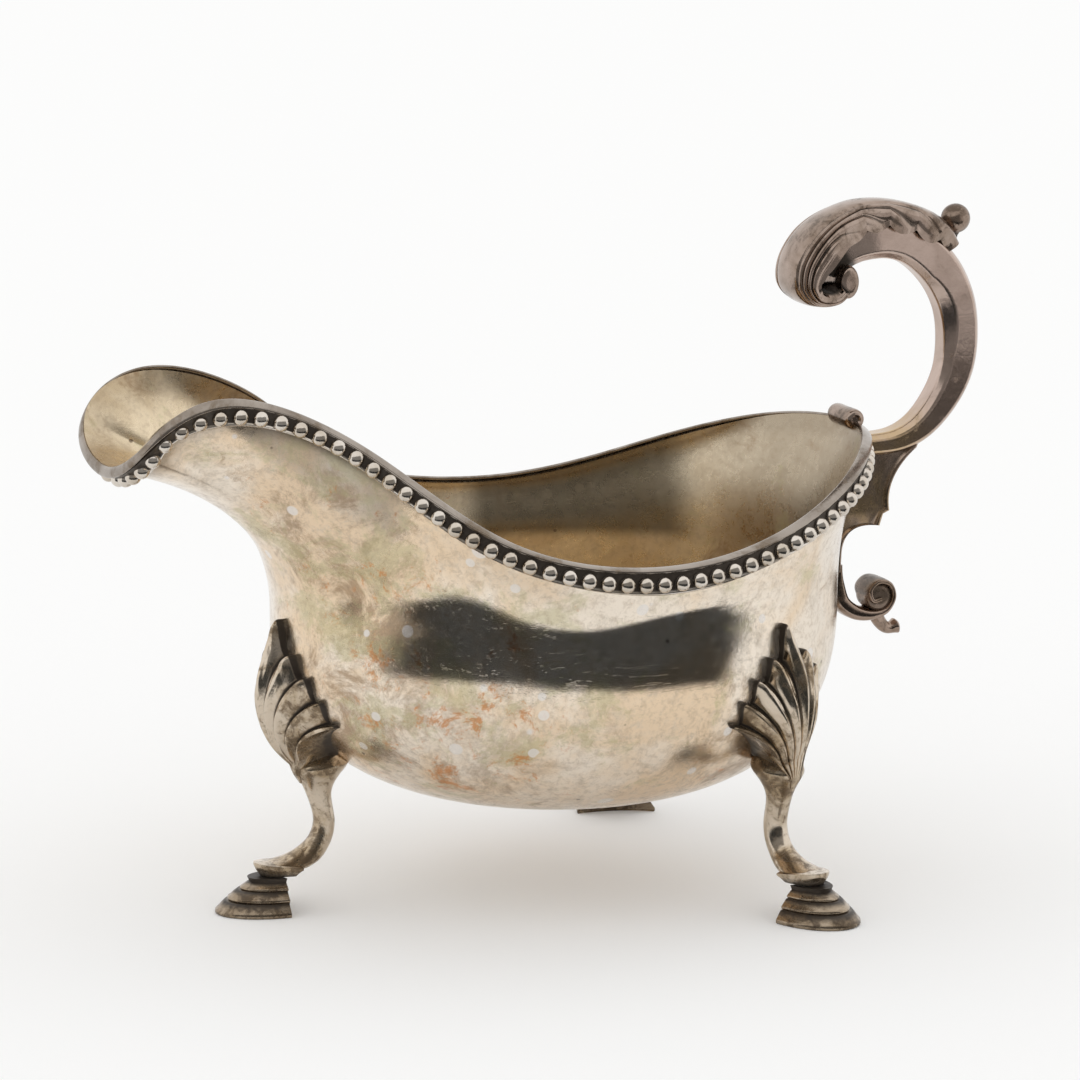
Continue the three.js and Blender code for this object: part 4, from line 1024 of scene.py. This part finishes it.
def raised_silver():
    """The bowl: pale tarnished sheet with stains, water marks and fine scratches; warmer inside. It also
    carries painted shade under the rim and a painted reflection on the far inside wall.
    """
    material, sheet = finish_named("raised_silver")
    inside, hollow = sheet.attribute("inside"), sheet.attribute("hollow")
    clouds = sheet.noise(34, 5, 0.62, 0.4)
    mottle = sheet.noise(210, 8, 0.78, 0.3)
    grain = sheet.noise(620, 6, 0.75, 0.4)
    fine = sheet.noise(1800, 3, 0.7)
    stain_field = sheet.noise(88, 10, 0.78, 0.5)
    olive_field = sheet.noise(66, 9, 0.74, 0.4, sheet.stretched(1.0, 1.0, 1.3, (0.4, 0.2, 0.9)))
    rust_field = sheet.noise(120, 11, 0.82, 0.4)
    along = sheet.node("ShaderNodeSeparateXYZ", {}, {0: sheet.place()}, output=0)
    height = sheet.node("ShaderNodeSeparateXYZ", {}, {0: sheet.place()}, output=2)

    # Clean metal, outside and inside, both greyer towards the handle's end
    outside_tone = sheet.blend(clouds.between(0.4, 0.62), CREAM, WARM_CREAM)
    outside_tone = sheet.blend(mottle.between(0.48, 0.68) * 0.55, outside_tone, GREY_CREAM)
    outside_tone = sheet.blend(along.between(26 * MM, 58 * MM) * 0.5, outside_tone, GREY_CREAM)
    inside_tone = sheet.blend(clouds.between(0.36, 0.6), INSIDE_PALE, INSIDE_WARM)
    inside_tone = sheet.blend(along.between(34 * MM, 62 * MM) * 0.8, inside_tone, INSIDE_GREY)
    tone = sheet.blend(inside, outside_tone, inside_tone)

    # Where the stains gather, where the side is clean, and the dark zones: a dull shoulder, and a painted
    # reflection of a dark band on the upper far inside wall
    low_front = sheet.near((-40, -34, 38), 46, 36)
    low_rear = sheet.near((30, -44, 30), 36, 28)
    throat = sheet.near((-56, -18, 78), 36, 26)
    clean = sheet.near((-16, -52, 60), 44, 16)
    shoulder = sheet.near((-58, -28, 92), 26, 20) * (1 - inside)
    lip_inside = sheet.near((-48, 14, 104), 24, 18) * inside
    # A painted reflection of a dark band on the upper far inside wall.
    far_wall_reflection = along.between(0, 7 * MM) * (1 - along.between(41 * MM, 49 * MM)) * inside
    far_wall_reflection = far_wall_reflection * height.between(60 * MM, 63 * MM) * sheet.near((22, 50, 74), 40, 14)
    # Brown stains, green and rusty bloom, a fine dusk, water marks and pits
    stained = low_front * 0.13 + low_rear * 0.12 + throat * 0.09 + lip_inside * 0.2 + inside * 0.02
    stains = (stain_field + stained).between(0.56, 0.72)
    tone = sheet.blend(stains * (1 - clean * 0.6) * 0.7, tone, BROWN)
    olive = (olive_field + low_front * 0.05 + throat * 0.1 + clean * 0.02).between(0.55, 0.66)
    tone = sheet.blend(olive * 0.5, tone, OLIVE)
    rust = (rust_field + low_front * 0.1 + throat * 0.05 + low_rear * 0.05).between(0.62, 0.7)
    tone = sheet.blend(rust * 0.75, tone, RUST)
    tone = sheet.blend(grain.between(0.46, 0.64) * 0.32, tone, DUSK)
    marks = sheet.spots(150, 0.18, 0.03, 0.16) + sheet.spots(96, 0.17, 0.025, 0.26)
    tone = sheet.blend(marks.clamped() * (1 - inside) * 0.75, tone, WATER_MARK)
    pits = sheet.spots(240, 0.12, 0.05, 0.1)
    tone = sheet.blend(pits * 0.7, tone, DARK_BROWN)
    # The far inside wall's dark band is a painted reflection.
    tone = sheet.blend(far_wall_reflection * 0.8, tone, FAR_WALL_REFLECTION)
    # Painted shade under the rim's mouldings, from the mesh's hollow value, along with tarnish.
    tone = sheet.blend(hollow * 0.75, tone, HORN)

    # Tarnish dulls the shine, and the clean side keeps it
    scratches = sheet.noise(90, 3, 0.8, 0, sheet.stretched(0.5, 9.0, 11.0, (0.5, 0.3, 0.8)))
    scratches = scratches.between(0.6, 0.64)
    veil = stains * 0.5 + olive * 0.3 + marks * 0.4
    veil = veil + mottle.between(0.4, 0.7) * 0.5 + grain.between(0.4, 0.7) * 0.3
    veil = veil.clamped() * (1 - clean * 0.85)
    roughness = 0.09 + veil * 0.2 + scratches * 0.07 + inside * 0.16 + shoulder * 0.3
    metallic = 1 - veil * 0.3 - shoulder * 0.35
    relief = mottle * 0.25 + clouds * 0.6 + grain * 0.1 + fine * 0.03 - pits * 0.4 - scratches * 0.05
    relief = relief * (1 - clean * 0.6)
    close_finish(sheet, tone, roughness, metallic, relief, 0.17, 0.0012)
    return material


def cast_or_drawn(name, pale, warm, dark, polish, dirt, gilded=((0, 0, 0), 1)):
    """Cast and drawn silver: dark in its hollows with painted shade and tarnish, stained between them, bright
    on its edges. Round one place, of a given radius, it has taken on a golden tinge."""
    material, sheet = finish_named(name)
    hollow = sheet.attribute("hollow")
    clouds = sheet.noise(95, 5, 0.65, 0.5)
    mottle = sheet.noise(420, 6, 0.72, 0.8)
    fine = sheet.noise(1500, 3, 0.6)
    tone = sheet.blend(clouds.between(0.36, 0.64), pale, warm)
    stains = (clouds * 0.5 + mottle * 0.5 + (dirt - 0.5) * 0.24).between(0.5, 0.62)
    tone = sheet.blend(stains * 0.8, tone, dark)
    place, radius = gilded
    tone = sheet.blend(sheet.near(place, radius, radius * 0.8) * clouds.between(0.3, 0.6) * 0.65, tone, GOLD)
    # The hollows darken towards the darkest tone: painted shade in the recesses, along with the tarnish that
    # gathers there.
    grime_and_shade = (hollow * 1.15 + (mottle - 0.5) * 0.5).between(0.28, 0.95)
    tone = sheet.blend(grime_and_shade, tone, SOOT_AND_SHADE)
    roughness = polish + stains * 0.16 + grime_and_shade * 0.25
    metallic = 1 - stains * 0.2 - grime_and_shade * 0.5
    height = mottle * 0.4 + clouds * 0.5 + fine * 0.08
    close_finish(sheet, tone, roughness, metallic, height, 0.14, 0.0006)
    return material


raised = raised_silver()
drawn = cast_or_drawn("drawn_silver", colour(168, 158, 148), colour(138, 127, 116), HORN,
                      polish=0.17, dirt=0.5)
beaded = cast_or_drawn("beaded_silver", colour(226, 218, 208), colour(200, 188, 172), HORN,
                       polish=0.12, dirt=0.2)
arm_cast = cast_or_drawn("arm_silver", colour(200, 180, 168), colour(184, 164, 152), colour(140, 120, 104),
                         polish=0.17, dirt=0.25, gilded=((72, 0, 86), 15))
cast = cast_or_drawn("cast_silver", colour(176, 158, 146), colour(142, 124, 110), colour(84, 70, 58),
                     polish=0.12, dirt=0.5)
bracket_cast = cast_or_drawn("bracket_silver", colour(170, 150, 136), colour(138, 120, 104),
                             colour(84, 70, 58), polish=0.13, dirt=0.5, gilded=((69, 0, 71), 11))
leg_cast = cast_or_drawn("leg_silver", colour(216, 202, 184), colour(184, 164, 136), colour(100, 82, 62),
                         polish=0.16, dirt=0.62)
foot_cast = cast_or_drawn("foot_silver", colour(178, 162, 142), colour(142, 124, 102), colour(78, 66, 54),
                          polish=0.19, dirt=0.6)

# The pieces
front_leg = LegFrame(-FRONT_STANCE, 0, 180)
rear_left = LegFrame(REAR_STANCE, REAR_SPREAD, REAR_SPLAY, SHELL_LEAN)
rear_right = LegFrame(REAR_STANCE, -REAR_SPREAD, -REAR_SPLAY, -SHELL_LEAN)

bowl(raised)
rim_moulding(drawn)
beading(1, "beading_left", "bead_strip_left", beaded)
beading(-1, "beading_right", "bead_strip_right", beaded)
scroll_arm(arm_cast)
leaf_cap(cast)
ball_knop(cast)
rim_scroll(cast)
lower_bracket(bracket_cast)
leg_piece("front_leg", "leg_front", front_leg, leg_cast)
leg_piece("rear_left_leg", "leg_rear_left", rear_left, leg_cast)
leg_piece("rear_right_leg", "leg_rear_right", rear_right, leg_cast)
hoof_foot("front_foot", "foot_front", front_leg, foot_cast)
hoof_foot("rear_left_foot", "foot_rear_left", rear_left, foot_cast)
hoof_foot("rear_right_foot", "foot_rear_right", rear_right, foot_cast)


# The studio: a white table in a white tent, open in front to a dark room
TABLE_REACH = 6000
TABLE_GLOW = 0.075
# The opening's foot on the table, x and y: before the bowl, and beside it before the arm
BOWL_SCREEN = ((-330, -60), (-260, -80), (-175, -128), (-88, -158), (-4, -157), (78, -136), (110, -112))
ARM_SCREEN = ((106, -176), (230, -176))
SCREEN_FOOT, SCREEN_TOP = 0.5, 215
BOWL_DARK_TOP, ARM_DARK_TOP = 72, 74
LENS, SENSOR_WIDTH = 216.67, 36
CAMERA_TARGET = (9.5 + DATUM, 0, 70)
CAMERA_DISTANCE, CAMERA_AZIMUTH, CAMERA_ELEVATION = 1295, -22.95, 11.31


def flat_sheet(name, corners, finish):
    """Four-cornered flat pieces of the studio, in millimetres."""
    mesh = bpy.data.meshes.new(name)
    mesh.from_pydata([tuple(c * MM for c in corner) for corner in corners], [],
                     [tuple(range(k, k + 4)) for k in range(0, len(corners), 4)])
    made = bpy.data.objects.new(name, mesh)
    bpy.context.scene.collection.objects.link(made)
    made.data.materials.append(finish)
    return made


def seen_directly(sheet):
    return sheet.node("ShaderNodeLightPath", output=0)


def table_top():
    """A white table that keeps the boat's shadow; seen directly, it is a little brighter."""
    material, sheet = finish_named("white_table")
    matt = sheet.node("ShaderNodeBsdfDiffuse", {}, {"Color": (0.9, 0.9, 0.895, 1)})
    glow = sheet.node("ShaderNodeEmission", {}, {"Color": (1, 1, 1, 1), "Strength": TABLE_GLOW})
    none = sheet.node("ShaderNodeEmission", {}, {"Color": (0, 0, 0, 1), "Strength": 0.0})
    lift = sheet.node("ShaderNodeMixShader", {}, {0: seen_directly(sheet), 1: none, 2: glow})
    both = sheet.node("ShaderNodeAddShader", {}, {0: matt, 1: lift})
    sheet.node("ShaderNodeOutputMaterial", {}, {"Surface": both})
    far = TABLE_REACH
    flat_sheet("table_top", [(-far, -far, 0), (far, -far, 0), (far, far, 0), (-far, far, 0)], material)


def screen(name, foot, low, high, shade):
    """An upright screen round the front edge of the table, met only by reflections."""
    material, sheet = finish_named(name)
    glow = sheet.node("ShaderNodeEmission", {}, {"Color": shade, "Strength": 1.0})
    sheet.node("ShaderNodeOutputMaterial", {}, {"Surface": glow})
    corners = []
    for (x0, y0), (x1, y1) in zip(foot, foot[1:]):
        corners += [(x0, y0, low), (x1, y1, low), (x1, y1, high), (x0, y0, high)]
    made = flat_sheet(name, corners, material)
    for ray in ("camera", "diffuse", "transmission", "volume_scatter", "shadow"):
        setattr(made, "visible_" + ray, False)


def tent():
    """The tent's even white light, from all round."""
    world = bpy.data.worlds.new("tent")
    bpy.context.scene.world = world
    world.use_nodes = True
    sheet = Finish(world.node_tree)
    white = sheet.node("ShaderNodeBackground", {}, {"Color": (1, 1, 1, 1), "Strength": 1.0})
    sheet.node("ShaderNodeOutputWorld", {}, {"Surface": white})


def camera():
    """A long lens, a little above the boat, before its right side."""
    data = bpy.data.cameras.new("camera")
    data.lens, data.sensor_width = LENS, SENSOR_WIDTH
    data.clip_end = 20
    made = bpy.data.objects.new("camera", data)
    bpy.context.scene.collection.objects.link(made)
    azimuth, elevation = math.radians(CAMERA_AZIMUTH), math.radians(CAMERA_ELEVATION)
    back = Vector((math.sin(azimuth) * math.cos(elevation), -math.cos(azimuth) * math.cos(elevation),
                   math.sin(elevation)))
    made.location = (Vector(CAMERA_TARGET) + back * CAMERA_DISTANCE) * MM
    made.rotation_euler = back.to_track_quat("Z", "Y").to_euler()
    bpy.context.scene.camera = made


table_top()
screen("dark_room", BOWL_SCREEN, SCREEN_FOOT, BOWL_DARK_TOP, (0.045, 0.048, 0.05, 1))
screen("dim_wall", BOWL_SCREEN, BOWL_DARK_TOP, SCREEN_TOP, (0.26, 0.255, 0.25, 1))
screen("dark_room_beside", ARM_SCREEN, SCREEN_FOOT, ARM_DARK_TOP, (0.1, 0.095, 0.09, 1))
screen("dim_wall_beside", ARM_SCREEN, ARM_DARK_TOP, SCREEN_TOP, (0.72, 0.7, 0.69, 1))
tent()
camera()

bpy.context.scene.view_settings.view_transform = "Standard"
